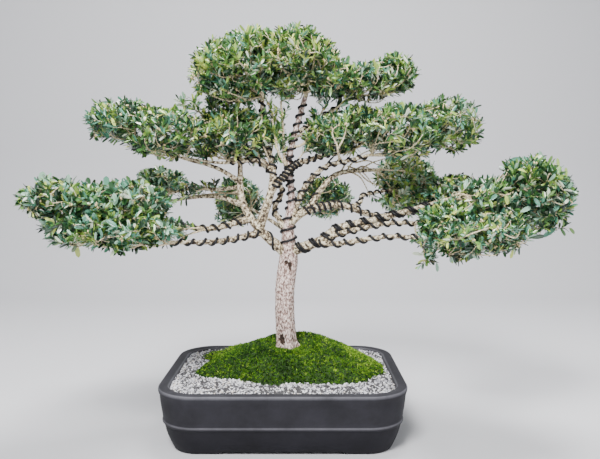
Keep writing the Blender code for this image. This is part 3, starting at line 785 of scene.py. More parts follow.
def make_tufts(finishes):
    """Short pointed shoots of moss all over the cushion, in drifts of lighter and darker green."""
    rng = np.random.default_rng(12)
    roots, tones = [], []
    while len(roots) < TUFTS:
        share, turn = math.sqrt(rng.uniform(0.0, 1.03)), rng.uniform(0, 2 * math.pi)
        x, y, z = mound_surface(share, turn)
        if rng.random() < LEVEL_TUFTS:
            level = rng.uniform(18 * MM, MOUND_FLAT * 1.15)
            x, y, z = FOOT_X + level * math.cos(turn), level * math.sin(turn), MOUND_TOP
        roots.append((x, y, z - 0.6 * MM))
        light = noise.noise(Vector((x, y, 9)) * 26) * 0.9 + 0.8 * noise.noise(Vector((x, y, 3)) * 90)
        for drift_x, drift_y, radius, lighter in DRIFTS:
            away = math.hypot(x / MM - drift_x, y / MM - drift_y) / radius
            light += lighter * math.exp(-(away**2))
        tone = MOSS_TONE + light + rng.normal() * MOSS_MIXED
        tones.append(int(np.clip(tone, 0, len(finishes) - 1)))
    roots, tones = np.array(roots), np.array(tones)
    out = np.column_stack([(roots[:, 0] - FOOT_X) * 2.2, roots[:, 1] * 3.5, np.full(TUFTS, 0.34)])
    lean = units(out)[:, None] + rng.normal(size=(TUFTS, BLADES, 3)) * 0.75
    lean = units(lean)
    length = rng.uniform(BLADE_LOW, BLADE_HIGH, (TUFTS, BLADES, 1)) * MM
    side = units(np.cross(lean, rng.normal(size=(TUFTS, BLADES, 3)))) * BLADE_HALF
    base = roots[:, None] + rng.normal(size=(TUFTS, BLADES, 3)) * (0.5 * MM, 0.5 * MM, 0.1 * MM)
    points = np.stack([base - side, base + side, base + lean * length], axis=2).reshape(-1, 3)
    faces = np.arange(len(points)).reshape(-1, 3)
    kinds = np.repeat(tones, BLADES)
    settle(mesh_piece("moss_tufts", points, faces, finishes, kinds, False), "moss")


# ---------------------------------------------------------------- trunk and boughs

TRUNK_RING_RUN, BOUGH_RING_RUN = 1.5 * MM, 2.2 * MM  # spacing of the rings along a limb
TRUNK_SIDES, BOUGH_SIDES = 56, 18
UPRIGHT = 60 * MM  # height over which the trunk's rings turn from level to square with it
FLARE, FLARE_RUN = 0.16, 28 * MM  # spread of the roots as a share of the radius, and how it fades
BOUGH_FULL = 1.1  # the bark's swellings make a bough this much fuller than its solid
ROOT_SWELL, ROOT_RUN = 0.2, 2.2  # its further swelling at its root, and how many radii that runs
BARK_STEP = 3.7  # between the bark patterns of one limb and the next
# (centre, radius of the mouth, depth) of hollows in the trunk, in millimetres, and
# the depth in millimetres from which a hollow takes a dark finish, painted shade in its recess
HOLLOWS = (
    ((-5, -18, 152), (6, 10), 4.5),
    ((4, -15, 287), (3.4, 3.6), 4.0),
    ((11, -14, 280), (2.8, 8.0), 4.5),
)
HOLLOW_SHADE_DEPTH = 1.3


def dense_line(name, run):
    """A limb's centre line and radii with points every run or so, and the length along it."""
    line, radii = limb_line(name)
    along = run_along(line)
    wanted = np.linspace(0, along[-1], max(6, round(along[-1] / run)))
    rows = smooth(np.column_stack([line, radii]), 8)
    fine = run_along(rows[:, :3])
    fine *= along[-1] / fine[-1]
    out = np.column_stack([np.interp(wanted, fine, rows[:, k]) for k in range(4)])
    return out[:, :3], out[:, 3], wanted


def bark_relief(direction, along, radius, seed):
    """How far the bark stands out, in metres: slow swellings, plates, and fissures along the limb."""
    at = Vector(direction) * (radius / MM)
    swell = noise.noise(Vector((at.x * 0.16, at.y * 0.16, along / (26 * MM) + seed)))
    plates = noise.noise(Vector((at.x * 0.42 + seed, at.y * 0.42, along / (7 * MM))))
    fissure = abs(noise.noise(Vector((at.x * 0.75, at.y * 0.75 + seed, along / (11 * MM)))))
    fine = noise.noise(Vector((at.x * 1.6, at.y * 1.6, along / (2.4 * MM) + seed)))
    size = min(1.0, radius / (16 * MM))
    return (0.8 * swell + 0.7 * plates - 1.5 * max(0, 0.16 - fissure) * 4 + 0.4 * fine) * size * MM


def hollow_depth(point):
    """How deep the trunk's hollows go in at a point of its surface, in millimetres."""
    dip = 0.0
    for mouth, (wide, tall), depth in HOLLOWS:
        off = (point - np.array(mouth) * MM) / (np.array([wide, 9, tall]) * MM)
        ragged = 1 + 0.7 * noise.noise(Vector(point / (4 * MM)))
        dip = max(dip, depth * ragged * math.exp(-(off @ off) * 1.1))
    return dip


def make_bark(name, seed, finishes):
    """A limb with its bark in relief, swelling a little where it leaves its parent."""
    trunk = name == "trunk"
    line, radii, along = dense_line(name, TRUNK_RING_RUN if trunk else BOUGH_RING_RUN)
    across = frames(line, UPRIGHT if trunk else 0.0)
    sides = TRUNK_SIDES if trunk else BOUGH_SIDES
    points, dips = [], []
    for (u, v), centre, radius, run in zip(across, line, radii, along):
        flare = FLARE * math.exp(-run / FLARE_RUN) if trunk else 0.0
        swell = 0.0 if trunk else BOUGH_FULL - 1 + ROOT_SWELL * math.exp(-run / (ROOT_RUN * radius))
        for i in range(sides):
            turn = 2 * math.pi * i / sides
            direction = u * math.cos(turn) + v * math.sin(turn)
            relief = bark_relief((math.cos(turn), math.sin(turn), 0), run, radius, seed)
            share = 1 + flare * (math.sin(4 * turn + 0.8) - 0.9) + swell
            point = centre + direction * (radius * share + relief)
            dip = hollow_depth(point) if trunk else 0.0
            points.append(point - direction * dip * MM)
            dips.append(dip)
    points += [line[0], line[-1]]
    faces = tube_faces(len(line), sides)
    # faces deep in a hollow take the dark finish: painted shade in the recess
    kinds = np.array([*dips, 0, 0])[faces].mean(axis=1) > HOLLOW_SHADE_DEPTH
    piece = mesh_piece(name + "_bark", points, faces, finishes, kinds)
    settle(piece, "bark", *(() if name in SMALL_LIMBS else (name,)))


# ---------------------------------------------------------------- training wire

# (limb, wire radius and turns' pitch in millimetres, share of the limb where it starts and ends,
# hand, wires side by side)
WIRES = (
    ("lower_left_bough", 2.2, 19, 0.04, 1.0, 1, 1),
    ("lowest_left_bough", 2.1, 20, 0.03, 1.0, -1, 1),
    ("right_bough", 2.2, 25, 0.05, 0.95, 1, 2),
    ("middle_right_bough", 2.2, 20, 0.06, 1.0, 1, 1),
    ("lowest_right_bough", 2.2, 24, 0.06, 1.0, 1, 1),
    ("right_fork", 2.1, 19, 0.36, 0.92, 1, 1),
    ("right_fork", 2.2, 10, 0.14, 0.34, 1, 1),
    ("upper_right_bough", 2.1, 18, 0.10, 1.0, 1, 1),
    ("knotted_right_bough", 2.2, 13, 0.12, 1.0, -1, 1),
    ("twisting_bough", 2.1, 17, 0.10, 1.0, 1, 1),
    ("crooked_right_bough", 1.8, 15, 0.1, 1.0, 1, 1),
    ("left_bough", 2.0, 42, 0.02, 0.34, 1, 1),
    ("left_inner_bough", 2.0, 15, 0.42, 1.0, -1, 1),
    ("bare_right_bough", 2.0, 30, 0.0, 0.2, 1, 1),
    ("crown_side_bough", 1.8, 16, 0.1, 1.0, 1, 1),
    ("crossing_bough", 2.4, 7, 0.12, 0.95, 1, 1),
    ("level_left_bough", 1.8, 16, 0.1, 0.45, 1, 1),
    ("trunk", 2.1, 19, 0.40, 0.56, 1, 1),
    ("trunk", 2.1, 15, 0.56, 0.985, 1, 1),
    ("trunk", 2.0, 12, 0.66, 0.76, -1, 1),
)
WIRE_STEPS = 14  # points in each turn
WIRE_SIDES = 7
WIRE_RUN = 1.5 * MM  # spacing of the points of the line that a wire winds round
STRAND = 2.15  # wire radii between two strands side by side
WIRE_OUT = 0.55  # how far a wire's middle stands off the bark, in wire radii


def make_wires(finish):
    """Black training wire wound in open spirals along the boughs."""
    tubes = Tubes()
    for limb, thick, pitch, low, high, hand, strands in WIRES:
        line, radii, along = dense_line(limb, WIRE_RUN)
        across = np.array(frames(line, UPRIGHT if limb == "trunk" else 0.0))
        start, end = low * along[-1], high * along[-1]
        steps = max(6, round((end - start) / (pitch * MM) * WIRE_STEPS))
        for strand in range(strands):
            route = []
            for run in np.linspace(start, end, steps):
                centre, u, v = (
                    np.array([np.interp(run, along, rows[:, k]) for k in range(3)])
                    for rows in (line, across[:, 0], across[:, 1])
                )
                wound = run - start - STRAND * thick * MM * strand
                turn = hand * 2 * math.pi * wound / (pitch * MM)
                turn += 0.5 * math.sin(run / (31 * MM) + thick * 7)
                reach = np.interp(run, along, radii) * BOUGH_FULL + thick * WIRE_OUT * MM
                route.append(centre + reach * (unit(u) * math.cos(turn) + unit(v) * math.sin(turn)))
            tubes.add(route, thick * MM, WIRE_SIDES)
    settle(tubes.piece("training_wire", finish), "bark")


# ---------------------------------------------------------------- foliage

FINE_COUNTS = 54, 150  # finer twig ends in the smallest mass and in the largest
SHOOT_LOW, SHOOT_HIGH = 20 * MM, 36 * MM
LEAF_LOW, LEAF_HIGH = 11 * MM, 17.5 * MM
LEAF_SHARE = 0.3  # width over length
PAIR_RUN = 3.9 * MM  # spacing of the leaf pairs along a shoot
STRAGGLER = 1.05  # how far out the few shoots may reach that stand out of their mass
STRAGGLER_CHANCE = 0.1
TWIG_END, SHOOT_END = 0.7 * MM, 0.4 * MM  # radii
LEAN_LOW, LEAN_HIGH = 34, 66  # degrees that a leaf leans out from its shoot
OWN_TONE = 0.52  # share of the leaves that keep their shoot's tone
BUD_CHANCE = 0.26
STEM_SHARE, THINNING = 0.95, 0.55  # a stem's radius by its bough's, and how its twigs thin out
BARE_FOOT = 0.75  # chance that a twig end right at the stem's foot bears no shoots
SHOOT_LIMIT = 0.99  # depth in its mass that the other shoots keep to
SHORTER = 0.72  # how much shorter a shoot is tried again that didn't fit
HEART = 0.62  # depth in its mass up to which a shoot is in the shade
SHADED_CHANCE = 0.5  # how many of the shoots in the shade or on a mass's underside take dark tones, painted shade
FRESH_MASSES = ("crown_left", "crown_middle", "upper_left_inner")
# Masses whose leaves take pale tones: painted light that lifts them out of the shade of the masses above.
PALE_MASSES = ("back_right_upper", "back_right_lower")
BROAD_MASSES = ("lower_left_upper", "lower_left_lower", "lower_right_end")
BROAD = 1.14  # how much longer, and again wider, most leaves of the broad masses are
BROAD_CHANCE = 0.6
TONES = (  # (colour, roughness) of the leaves: 0 to 3 their greens, 4 and 5 dark greens for painted shade, 6 a blue-green painted reflection, 7 and 8 pale painted highlights
    ((196, 210, 108), 0.34),
    ((152, 184, 84), 0.32),
    ((112, 154, 74), 0.30),
    ((78, 124, 64), 0.28),
    ((44, 84, 48), 0.28),
    ((24, 54, 34), 0.28),
    ((92, 148, 124), 0.26),
    ((156, 196, 170), 0.26),
    ((226, 238, 212), 0.26),
)
# Tones that a shoot may take, by their numbers in TONES.
FRESH_TONES = (0, 1, 2, 3)
MIDDLE_TONES = (1, 2, 3, 4, 6)
DEEP_TONES = (2, 4, 4, 5, 6, 6, 7)
SHADED_TONES = (4, 5, 5)
PALE_TONES = (1, 2, 6, 7, 7, 8)
# Stray tones scatter the painted highlights, reflections and shade among a shoot's leaves.
STRAY = (0.08, 0.09, 0.08, 0.12, 0.15, 0.15, 0.08, 0.11, 0.14)  # chance of each tone off its shoot's
# Ovals seen from the front, (x, z, half width, half height) in millimetres, that a mass leaves open.
OPENINGS = {
    "crown_middle": ((78, 692, 29, 29), (105, 654, 24, 22)),
    "crown_right": ((140, 652, 28, 33), (196, 554, 42, 24)),
    "crown_left": ((-151, 561, 19, 17),),
    "lower_left_upper": ((-386, 321, 27, 26), (-211, 470, 45, 28)),
    "lower_left_lower": ((-386, 321, 27, 26),),
    "lower_right_end": ((330, 446, 24, 21), (387, 308, 29, 26)),
    "lower_right_middle": ((330, 446, 24, 21),),
    "lower_right_low": ((387, 308, 29, 26),),
    "upper_right_outer": ((346, 555, 27, 29),),
}

# Points of a leaf: (share along it, share of its width to the side, how far the edge is raised)
LEAF_POINTS = np.array(
    [(0, 0, 0), (0.24, -0.38, 0.9), (0.26, 0, 0), (0.24, 0.38, 0.9), (0.56, -0.5, 1), (0.58, 0, 0)]
    + [(0.56, 0.5, 1), (0.86, -0.4, 0.8), (0.88, 0, 0.1), (0.86, 0.4, 0.8), (1, 0, 0.4)]
)
LEAF_FACES = np.array(
    [(0, 2, 1), (0, 3, 2), (7, 8, 10), (8, 9, 10)]
    + [(a, a + 1, a + 4) for a in (1, 2, 4, 5)]
    + [(a, a + 4, a + 3) for a in (1, 2, 4, 5)]
)


def leaves_piece(name, rows, finishes):
    """One mesh of leaves. Each row holds root, way, upper side, length, width, bend and finish."""
    rows = np.array(rows)
    root, way, up = rows[:, 0:3], units(rows[:, 3:6]), rows[:, 6:9]
    length, width, bend = rows[:, 9:10], rows[:, 10:11], rows[:, 11:12]
    side = units(np.cross(way, up))
    normal = np.cross(side, way)
    along, across, raised = LEAF_POINTS[:, 0], LEAF_POINTS[:, 1], LEAF_POINTS[:, 2]
    points = root[:, None] + way[:, None] * (along * length)[:, :, None]
    points += side[:, None] * (across * width)[:, :, None]
    points += normal[:, None] * (raised * width * 0.2 - along**2 * bend * length)[:, :, None]
    faces = LEAF_FACES[None] + (np.arange(len(rows)) * len(LEAF_POINTS))[:, None, None]
    kinds = np.repeat(rows[:, 12].astype(int), len(LEAF_FACES))
    return mesh_piece(name, points.reshape(-1, 3), faces.reshape(-1, 3), finishes, kinds)


def spray_tone(name, point, rng):
    """The finish of a shoot by its place: yellow-green on top of the upper masses, blue-green
    further out and low, and pale at the back right: painted light in the shade under the masses above."""
    if name in PALE_MASSES:
        return int(rng.choice(PALE_TONES))
    top = (point[2] - 0.36) / 0.32
    out = abs(point[0]) / 0.45
    fresh = 0.75 * top - 0.45 * out + (0.4 if name in FRESH_MASSES else 0.0) + rng.normal() * 0.55
    if fresh > 0.75:
        return int(rng.choice(FRESH_TONES))
    return int(rng.choice(MIDDLE_TONES if fresh > 0.15 else DEEP_TONES))


def in_opening(name, point):
    """Whether a point lies in one of its mass's openings."""
    x, z = point[0] / MM, point[2] / MM
    ovals = OPENINGS.get(name, ())
    return any(math.hypot((x - at) / wide, (z - up) / tall) < 1 for at, up, wide, tall in ovals)


def grow_shoot(name, root, way, length, limit, tubes, leaves, buds, rng):
    """A leafy shoot: a thin curved twig with pairs of leaves, each pair a quarter turn on. It
    isn't grown where its tip would lie beyond limit, the depth in its mass, or in an opening."""
    bend = unit(way + rng.normal(size=3) * 0.35 + np.array([0, 0, 0.3]))
    shares = np.linspace(0, 1, 4)[:, None]
    line = root + length * (way * shares + (bend - way) * shares**2 * 0.5)
    tip = line[-1]
    depth = depth_in(name, tip)[0]
    if depth > limit or in_opening(name, tip):
        return False
    tubes.add(line, np.linspace(TWIG_END * 0.9, SHOOT_END, 4), 3)
    tone = spray_tone(name, tip, rng)
    # shoots deep in a mass or with more of it above take dark tones: painted shade
    higher = depth_in(name, tip + np.array([0, 0, 20 * MM]))[0]
    shaded = depth < HEART or higher < depth
    if shaded and rng.random() < SHADED_CHANCE and name not in PALE_MASSES:
        tone = int(rng.choice(SHADED_TONES))
    side = unit(np.cross(way, rng.normal(size=3)))
    pairs = max(3, int(length / PAIR_RUN))
    heading = unit(tip - line[-2])
    full = BROAD if name in BROAD_MASSES and rng.random() < BROAD_CHANCE else 1.0
    for k in range(pairs + 1):
        share = 0.18 + 0.80 * k / pairs
        at = np.array([np.interp(share * 3, range(4), line[:, j]) for j in range(3)])
        side = unit(np.cross(heading, side) + rng.normal(size=3) * 0.2)
        young = 1 - 0.28 * max(0, share - 0.6) / 0.4
        for hand in (1, -1):
            lean = math.radians(rng.uniform(LEAN_LOW, LEAN_HIGH) - 14 * share)
            away = heading * math.cos(lean) + side * hand * math.sin(lean)
            away = unit(away + rng.normal(size=3) * 0.14)
            up = unit(heading * 0.6 + np.array([0, 0, 0.6]) + rng.normal(size=3) * 0.36)
            size = rng.uniform(LEAF_LOW, LEAF_HIGH) * young * full
            kind = tone if rng.random() < OWN_TONE else int(rng.choice(len(TONES), p=STRAY))
            wide = size * LEAF_SHARE * full * rng.uniform(0.88, 1.15)
            leaves.append((*at, *away, *up, size, wide, rng.uniform(-0.03, 0.16), kind))
    if rng.random() < BUD_CHANCE:
        buds.append(tip if rng.random() < 0.5 else line[1])
    return True


def make_foliage(name, seed, limbs, twig_finish, leaf_finishes):
    """A mass: the solid's twigs, carried on to finer twigs and leafy shoots. Returns the places of
    its buds."""
    rng = np.random.default_rng(seed)
    line, radii = limb_line(MASSES[name][0])
    way = unit(line[-1] - line[-2])
    start = line[-1] + way * GAP
    coarse = spread(name, count_for(name, TWIG_COUNTS), rng, 0.2)
    points, parents, ways = [start, start + way * STEM_RUN], [-1, 0], [FAR_BACK, 0.0]
    grow(name, start, points, parents, ways, coarse, limbs)
    fine = spread(name, count_for(name, FINE_COUNTS), rng, 0.3)
    grow(name, start, points, parents, ways, fine, limbs)
    lines, carried = chains(parents)
    tubes, leaves, buds = Tubes(), [], []
    stem = radii[-1] * STEM_SHARE
    for chain in lines:
        shares = np.array([(carried[i] - 1) / (len(parents) - 1) for i in chain])
        widths = TWIG_END + (stem - TWIG_END) * shares**THINNING
        if chain[0]:
            widths[0] = widths[1]
        body = np.array([points[i] for i in chain])
        if len(chain) > 2:
            rows = smooth(np.column_stack([body, widths]), 3)
            body, widths = rows[:, :3], rows[:, 3]
        tubes.add(body, widths, 5 if widths.max() > 1.2 * MM else 4)
    heart = np.mean([c for c, _ in lobes_of(name)], axis=0)
    reach = max(np.linalg.norm(point - start) for point in points)
    for i in range(2, len(points)):
        if rng.random() < BARE_FOOT - 2.2 * np.linalg.norm(points[i] - start) / reach:
            continue
        came = unit(points[i] - points[parents[i]])
        outward = unit(points[i] - heart)
        for number in range(3 if carried[i] == 1 else 2):
            lean = came * 0.45 + outward * 0.55 + np.array([0, 0, 0.42]) + rng.normal(size=3) * 0.5
            lean[2] = max(lean[2], -0.12)
            root, foot = points[i], points[parents[i]]
            if number == 1:
                root = foot + (root - foot) * rng.uniform(0.4, 0.8)
            length = rng.uniform(SHOOT_LOW, SHOOT_HIGH)
            limit = STRAGGLER if rng.random() < STRAGGLER_CHANCE else SHOOT_LIMIT
            for _ in range(3):
                if grow_shoot(name, root, unit(lean), length, limit, tubes, leaves, buds, rng):
                    break
                length *= SHORTER
                lean = lean * 0.6 - outward * 0.25 + rng.normal(size=3) * 0.4
    settle(tubes.piece(name + "_twigs", twig_finish), "bark")
    settle(leaves_piece(name + "_leaves", leaves, leaf_finishes), "foliage", name)
    return buds


# (radius at the root, radius at the tip, number of shoots, waypoints) in millimetres: thin twigs
# between the boughs
BARE_TWIGS = (
    (2.7, 1.7, 8, ((8, 4, 444), (0, -2, 468), (-1, -4, 510), (-5, -4, 560))),
    (2.4, 1.5, 9, ((6, 4, 448), (-8, -6, 470), (-15, -8, 503), (-23, -8, 552))),
    (2.1, 1.0, 9, ((-42, 9, 457), (-44, -4, 478), (-50, -8, 510), (-62, -8, 548))),
    (1.8, 0.9, 8, ((-36, 11, 450), (-42, -6, 466), (-49, -14, 482), (-54, -16, 524))),
    (1.8, 0.9, 9, ((-22, -5, 455), (-30, -16, 474), (-38, -20, 496), (-36, -20, 536))),
    (1.6, 0.8, 8, ((4, 5, 470), (-10, 18, 496), (-12, 30, 528))),
    (1.6, 0.8, 8, ((-22, 0, 470), (-20, 20, 494), (-28, 34, 520))),
    (1.9, 0.9, 2, ((95, -2, 457), (92, -12, 472), (90, -14, 491), (85, -14, 512))),
    (1.3, 0.8, 2, ((90, -14, 490), (98, -14, 512), (108, -14, 536))),
    (2.5, 1.3, 5, ((15, 6, 484), (33, 4, 489), (58, 4, 520), (82, 4, 543), (100, 4, 558))),
    (2.3, 1.2, 5, ((20, 7, 500), (38, 9, 511), (58, 10, 533), (73, 10, 557))),
    (1.5, 0.8, 4, ((16, 6, 453), (28, 4, 467), (37, 4, 479), (50, 4, 488))),
    (1.7, 0.8, 7, ((-76, 6, 408), (-104, 40, 404), (-128, 60, 409), (-161, 60, 419), (-189, 60, 423))),
    (1.7, 0.8, 7, ((-74, 10, 402), (-104, 50, 404), (-155, 70, 400), (-184, 70, 393))),
    (1.6, 0.8, 6, ((-128, 50, 412), (-150, 40, 410), (-170, 40, 399))),
    (1.7, 0.8, 7, ((-126, -36, 346), (-142, -60, 342), (-165, -60, 336), (-187, -60, 333))),
    (1.6, 0.8, 6, ((-130, -38, 347), (-150, -66, 349), (-169, -70, 346), (-185, -70, 349))),
    (1.6, 0.7, 3, ((-168, -82, 328), (-208, -106, 322), (-242, -110, 322))),
    (1.5, 0.8, 5, ((-126, -8, 500), (-133, -10, 526), (-141, -10, 541), (-148, -10, 552))),
    (1.5, 0.8, 4, ((-150, -16, 500), (-156, -20, 530), (-163, -20, 544), (-169, -20, 552))),
    (1.5, 0.8, 5, ((-112, 0, 500), (-118, -6, 532), (-121, -6, 545), (-125, -6, 555))),
    (1.7, 0.8, 11, ((214, -64, 357), (214, -66, 347), (220, -66, 330), (229, -68, 312), (233, -70, 297))),
    (1.6, 0.8, 10, ((232, -110, 330), (246, -140, 317), (280, -155, 316), (316, -158, 315))),
    (
        1.5, 1.0, 3,
        ((98, 0, 462), (90, -45, 471), (88, -46, 484), (81, -46, 499), (81, -46, 508), (88, -44, 515)),
    ),
    (1.4, 0.9, 3, ((90, -46, 478), (99, -46, 496), (103, -46, 512), (103, -44, 526))),
    (1.3, 0.8, 3, ((270, -90, 374), (281, -112, 381), (295, -116, 393), (312, -118, 410))),
    (1.3, 0.8, 3, ((254, -140, 338), (258, -168, 340), (280, -174, 350), (312, -165, 359))),
    (1.6, 0.8, 7, ((350, -70, 372), (382, -72, 356), (413, -72, 349), (442, -70, 348))),
    (1.6, 0.8, 6, ((330, -80, 360), (352, -78, 345), (389, -75, 338), (419, -75, 338))),
    (1.9, 0.9, 0, ((110, 38, 442), (122, 48, 460), (138, 52, 474), (160, 52, 483))),
    (1.9, 0.9, 0, ((125, 46, 444), (142, 56, 452), (170, 60, 438))),
    (1.9, 0.9, 1, ((118, 42, 442), (137, 56, 431), (152, 56, 404))),
    (1.7, 0.9, 0, ((98, 31, 440), (108, 40, 456), (118, 44, 474), (122, 44, 490))),
    (1.7, 0.9, 0, ((130, 48, 444), (150, 60, 426), (176, 62, 416))),
    (1.6, 0.9, 0, ((136, 54, 446), (156, 56, 458), (180, 58, 466))),
    (1.5, 0.9, 0, ((126, 50, 458), (148, 50, 462), (172, 50, 452))),
    (1.5, 0.9, 0, ((112, 44, 452), (140, 58, 442), (160, 60, 418))),
)


# (foot of the stalk, root, tip, width, tone) in millimetres: leaves that stand out singly
LONE_LEAVES = (
    ((-362, -112, 414), (-370, -112, 420), (-368, -112, 440), 11, 7),
    ((-312, -122, 337), (-318, -118, 330), (-314, -118, 307), 8, 0),
    ((-264, -108, 404), (-270, -112, 411), (-271, -112, 433), 10, 6),
    ((-306, -112, 413), (-296, -112, 419), (-300, -112, 431), 7, 4),
    ((98, 12, 613), (106, 10, 618), (111, 10, 640), 8, 3),
    ((191, 27, 623), (193, 30, 632), (194, 30, 652), 8, 3),
    ((404, -62, 440), (406, -60, 450), (406, -60, 462), 6, 4),
    ((442, -70, 348), (462, -68, 350), (472, -68, 340), 6, 2),
    ((336, -105, 398), (341, -120, 404), (346, -120, 389), 8, 0),
    ((430, -78, 436), (437, -80, 443), (436, -80, 462), 6, 1),
    ((440, -78, 424), (449, -80, 428), (450, -80, 447), 6, 1),
    ((370, -71, 443), (360, -72, 457), (382, -72, 462), 7, 6),
    ((407, -81, 354), (411, -86, 335), (434, -86, 351), 8, 6),
    ((369, -120, 340), (379, -120, 338), (404, -120, 341), 7, 5),
    ((431, -73, 365), (445, -74, 350), (455, -74, 337), 6, 3),
    ((229, -68, 312), (228, -69, 306), (209, -69, 309), 6, 8),
    ((233, -70, 297), (248, -70, 294), (251, -70, 278), 6, 7),
    ((230, -69, 304), (235, -69, 303), (246, -69, 289), 6, 5),
    ((286, -158, 327), (291, -168, 324), (288, -168, 335), 8, 1),
    ((389, -126, 390), (386, -144, 386), (377, -144, 400), 7, 6),
    ((370, -115, 384), (361, -130, 378), (378, -130, 386), 7, 7),
    ((319, -110, 393), (318, -122, 396), (328, -122, 405), 6, 6),
    ((408, -119, 382), (410, -128, 378), (422, -128, 390), 7, 6),
)


def make_bare_twigs(twig_finish, leaf_finishes):
    """The thin twigs between the boughs, with a few shoots near their ends, and the lone leaves."""
    rng = np.random.default_rng(14)
    tubes, leaves, buds = Tubes(), [], []
    for root, tip, shoots, waypoints in BARE_TWIGS:
        line = smooth(waypoints, 4) * MM
        tubes.add(line, np.linspace(root, tip, len(line)) * MM, 6)
        heading = unit(line[-1] - line[-2])
        for k in range(shoots):
            at = line[-1 - round(0.68 * k / shoots * len(line))]
            lean = unit(heading * 0.6 + np.array([0, 0, 0.3]) + rng.normal(size=3) * 0.6)
            length = rng.uniform(0.6, 0.9) * SHOOT_LOW
            grow_shoot("upper_left_inner", at, lean, length, math.inf, tubes, leaves, buds, rng)
    for foot, root, tip, width, tone in LONE_LEAVES:
        at, way = np.array(root) * MM, np.array(tip) - root
        tubes.add([np.array(foot) * MM, at + unit(way) * 0.5 * MM], (0.6 * MM, 0.4 * MM), 3)
        size = np.linalg.norm(way) * MM
        leaves.append((*at, *unit(way), 0.2, -1, 0.3, size, width * MM, 0.08, tone))
    settle(tubes.piece("bare_twigs", twig_finish), "bark")
    settle(leaves_piece("stray_leaves", leaves, leaf_finishes), "foliage")
    return buds


CLUSTER = 4  # buds in a cluster
CLUSTER_SPREAD = 1.3 * MM
BUD_LOW, BUD_HIGH = 1.2, 2.4  # radii in millimetres


def make_buds(places, finish):
    """Small tan buds in clusters at the shoots."""
    rng = np.random.default_rng(13)
    shape = np.array([(1, 0, 0), (-1, 0, 0), (0, 1, 0), (0, -1, 0), (0, 0, 1.4), (0, 0, -1)])
    faces = [(0, 2, 4), (2, 1, 4), (1, 3, 4), (3, 0, 4), (2, 0, 5), (1, 2, 5), (3, 1, 5), (0, 3, 5)]
    centres = np.repeat(np.array(places), CLUSTER, axis=0)
    centres = centres + rng.normal(size=centres.shape) * CLUSTER_SPREAD
    points = centres[:, None] + shape[None] * rng.uniform(BUD_LOW, BUD_HIGH, (len(centres), 1, 1)) * MM
    index = np.array(faces)[None] + (np.arange(len(centres)) * len(shape))[:, None, None]
    settle(mesh_piece("buds", points.reshape(-1, 3), index.reshape(-1, 3), [finish]), "foliage")


# ---------------------------------------------------------------- stage


def area_light(name, place, aim, size, watts):
    lamp = bpy.data.lights.new(name, "AREA")
    lamp.size = size
    lamp.energy = watts
    thing = bpy.data.objects.new(name, lamp)
    thing.location = place
    thing.rotation_euler = (Vector(aim) - Vector(place)).to_track_quat("-Z", "Y").to_euler()
    bpy.context.scene.collection.objects.link(thing)


LAMPS = (  # (name, place, aim, size, watts)
    ("key", (-0.5, -1.6, 2.1), (0, 0, 0.35), 0.7, 108),
    ("fill", (1.7, -1.5, 1.2), (0, 0, 0.35), 1.4, 20),
    ("top", (0.3, 0.1, 2.1), (0, 0, 0.4), 0.7, 60),
)
CAMERA_PLACE = (0.0275, -1.10, 0.422)
CAMERA_DOWN = 4.15  # degrees that the camera looks down
CAMERA_LENS, CAMERA_SENSOR = 38.4, 36
FLOOR_SIDE, FLOOR_FRONT, SWEEP_START, WALL_TOP = 4.0, -3.0, 1.2, 3.0
SWEEP = 0.6  # radius of the sweep from floor to wall


def make_stage():
    """A pale floor that sweeps up behind, soft lights, and the camera where the photograph's was."""
    profile = [(FLOOR_FRONT, 0.0), (SWEEP_START, 0.0)]
    for turn in np.linspace(0.1, math.pi / 2, 12):
        profile.append((SWEEP_START + SWEEP * math.sin(turn), SWEEP - SWEEP * math.cos(turn)))
    profile.append((SWEEP_START + SWEEP, WALL_TOP))
    points = [(x, y, z) for y, z in profile for x in (-FLOOR_SIDE, FLOOR_SIDE)]
    faces = [(2 * i, 2 * i + 1, 2 * i + 3, 2 * i + 2) for i in range(len(profile) - 1)]
    mesh_piece("floor", points, faces, [plain("floor", (206, 206, 209), 0.9, 0.2)])
    world = bpy.data.worlds.new("studio")
    world.use_nodes = True
    world.node_tree.nodes["Background"].inputs["Color"].default_value = (0.9, 0.93, 1.0, 1)
    world.node_tree.nodes["Background"].inputs["Strength"].default_value = 0.34
    bpy.context.scene.world = world
    for lamp in LAMPS:
        area_light(*lamp)
    lens = bpy.data.cameras.new("camera")
    lens.lens, lens.sensor_width = CAMERA_LENS, CAMERA_SENSOR
    camera = bpy.data.objects.new("camera", lens)
    camera.location = CAMERA_PLACE
    camera.rotation_euler = (math.radians(90 - CAMERA_DOWN), 0, 0)
    bpy.context.scene.collection.objects.link(camera)
    bpy.context.scene.camera = camera


# ---------------------------------------------------------------- the whole scene


STONES = ((238, 237, 240), (212, 211, 215), (180, 179, 186), (222, 214, 206), (104, 102, 108))
GREENS = ((20, 42, 14), (46, 84, 24), (78, 124, 32), (116, 158, 40), (150, 186, 54), (186, 208, 92))
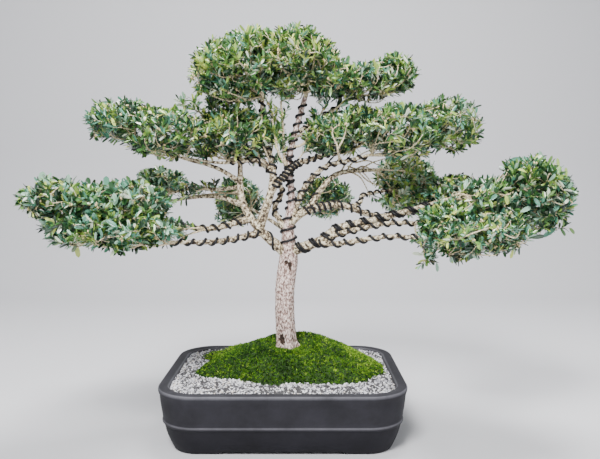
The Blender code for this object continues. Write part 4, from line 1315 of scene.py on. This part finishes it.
# (place in the noise, colour) from the fissures of the bark up to its plates: the bark's own tones, spread
# darker and paler than the bark is, as painted shade in the sunk fissures and a painted highlight on the
# raised plates
TRUNK_STOPS = (
    (0.37, (72, 54, 48)), (0.45, (146, 118, 108)), (0.52, (204, 178, 168)), (0.60, (252, 236, 226)),
)
BOUGH_STOPS = (
    (0.37, (38, 30, 25)), (0.45, (104, 88, 68)), (0.53, (194, 178, 146)), (0.61, (242, 232, 206)),
)


def main():
    make_stage()
    make_pot(clay_material())
    bed = mottled("gravel_bed", ((0.4, (34, 33, 34)), (0.65, (92, 90, 92))), 500, 0.9)
    bed_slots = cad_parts["gravel"].data.materials
    bed_slots.clear()
    bed_slots.append(bed)
    make_gravel([plain(f"chip_{i}", tone, 0.75, 0.35) for i, tone in enumerate(STONES)])
    make_mound(mottled("moss_body", ((0.35, (16, 32, 10)), (0.65, (48, 78, 22))), 600, 0.95))
    make_tufts([plain(f"moss_{i}", tone, 0.8, 0.2) for i, tone in enumerate(GREENS)])

    # the same noise sinks and darkens the fissures and raises and pales the plates: painted shade and
    # highlight on top of the bark's own tones
    trunk_bark = mottled("trunk_bark", TRUNK_STOPS, 370, 0.85, 1.0, 1.6 * MM, (1, 1, 0.55), 3)
    bough_bark = mottled("bough_bark", BOUGH_STOPS, 210, 0.85, 1.0, 1.2 * MM, (1, 1, 1), 3)
    # the dark finish of the trunk's hollows and crease: painted shade
    hollow = mottled("hollow_painted_shade", ((0.35, (24, 17, 13)), (0.65, (78, 58, 46))), 300, 0.95)
    for seed, name in enumerate(("trunk", *LIMBS, *SMALL_LIMBS)):
        make_bark(name, seed * BARK_STEP, [trunk_bark if name == "trunk" else bough_bark, hollow])
    make_wires(plain("black_wire", (15, 14, 17), 0.5, 0.4))

    limbs = limb_segments()
    twig = mottled("twig_bark", ((0.38, (150, 128, 94)), (0.58, (240, 226, 190))), 380, 0.8)
    leaf_finishes = [plain(f"leaf_{i}", tone, rough, 0.8) for i, (tone, rough) in enumerate(TONES)]
    places = []
    for number, name in enumerate(MASSES):
        places += make_foliage(name, SEEDS.get(name, FIRST_SEED + number), limbs, twig, leaf_finishes)
    places += make_bare_twigs(twig, leaf_finishes)
    make_buds(places, plain("bud", (236, 214, 162), 0.7))


main()
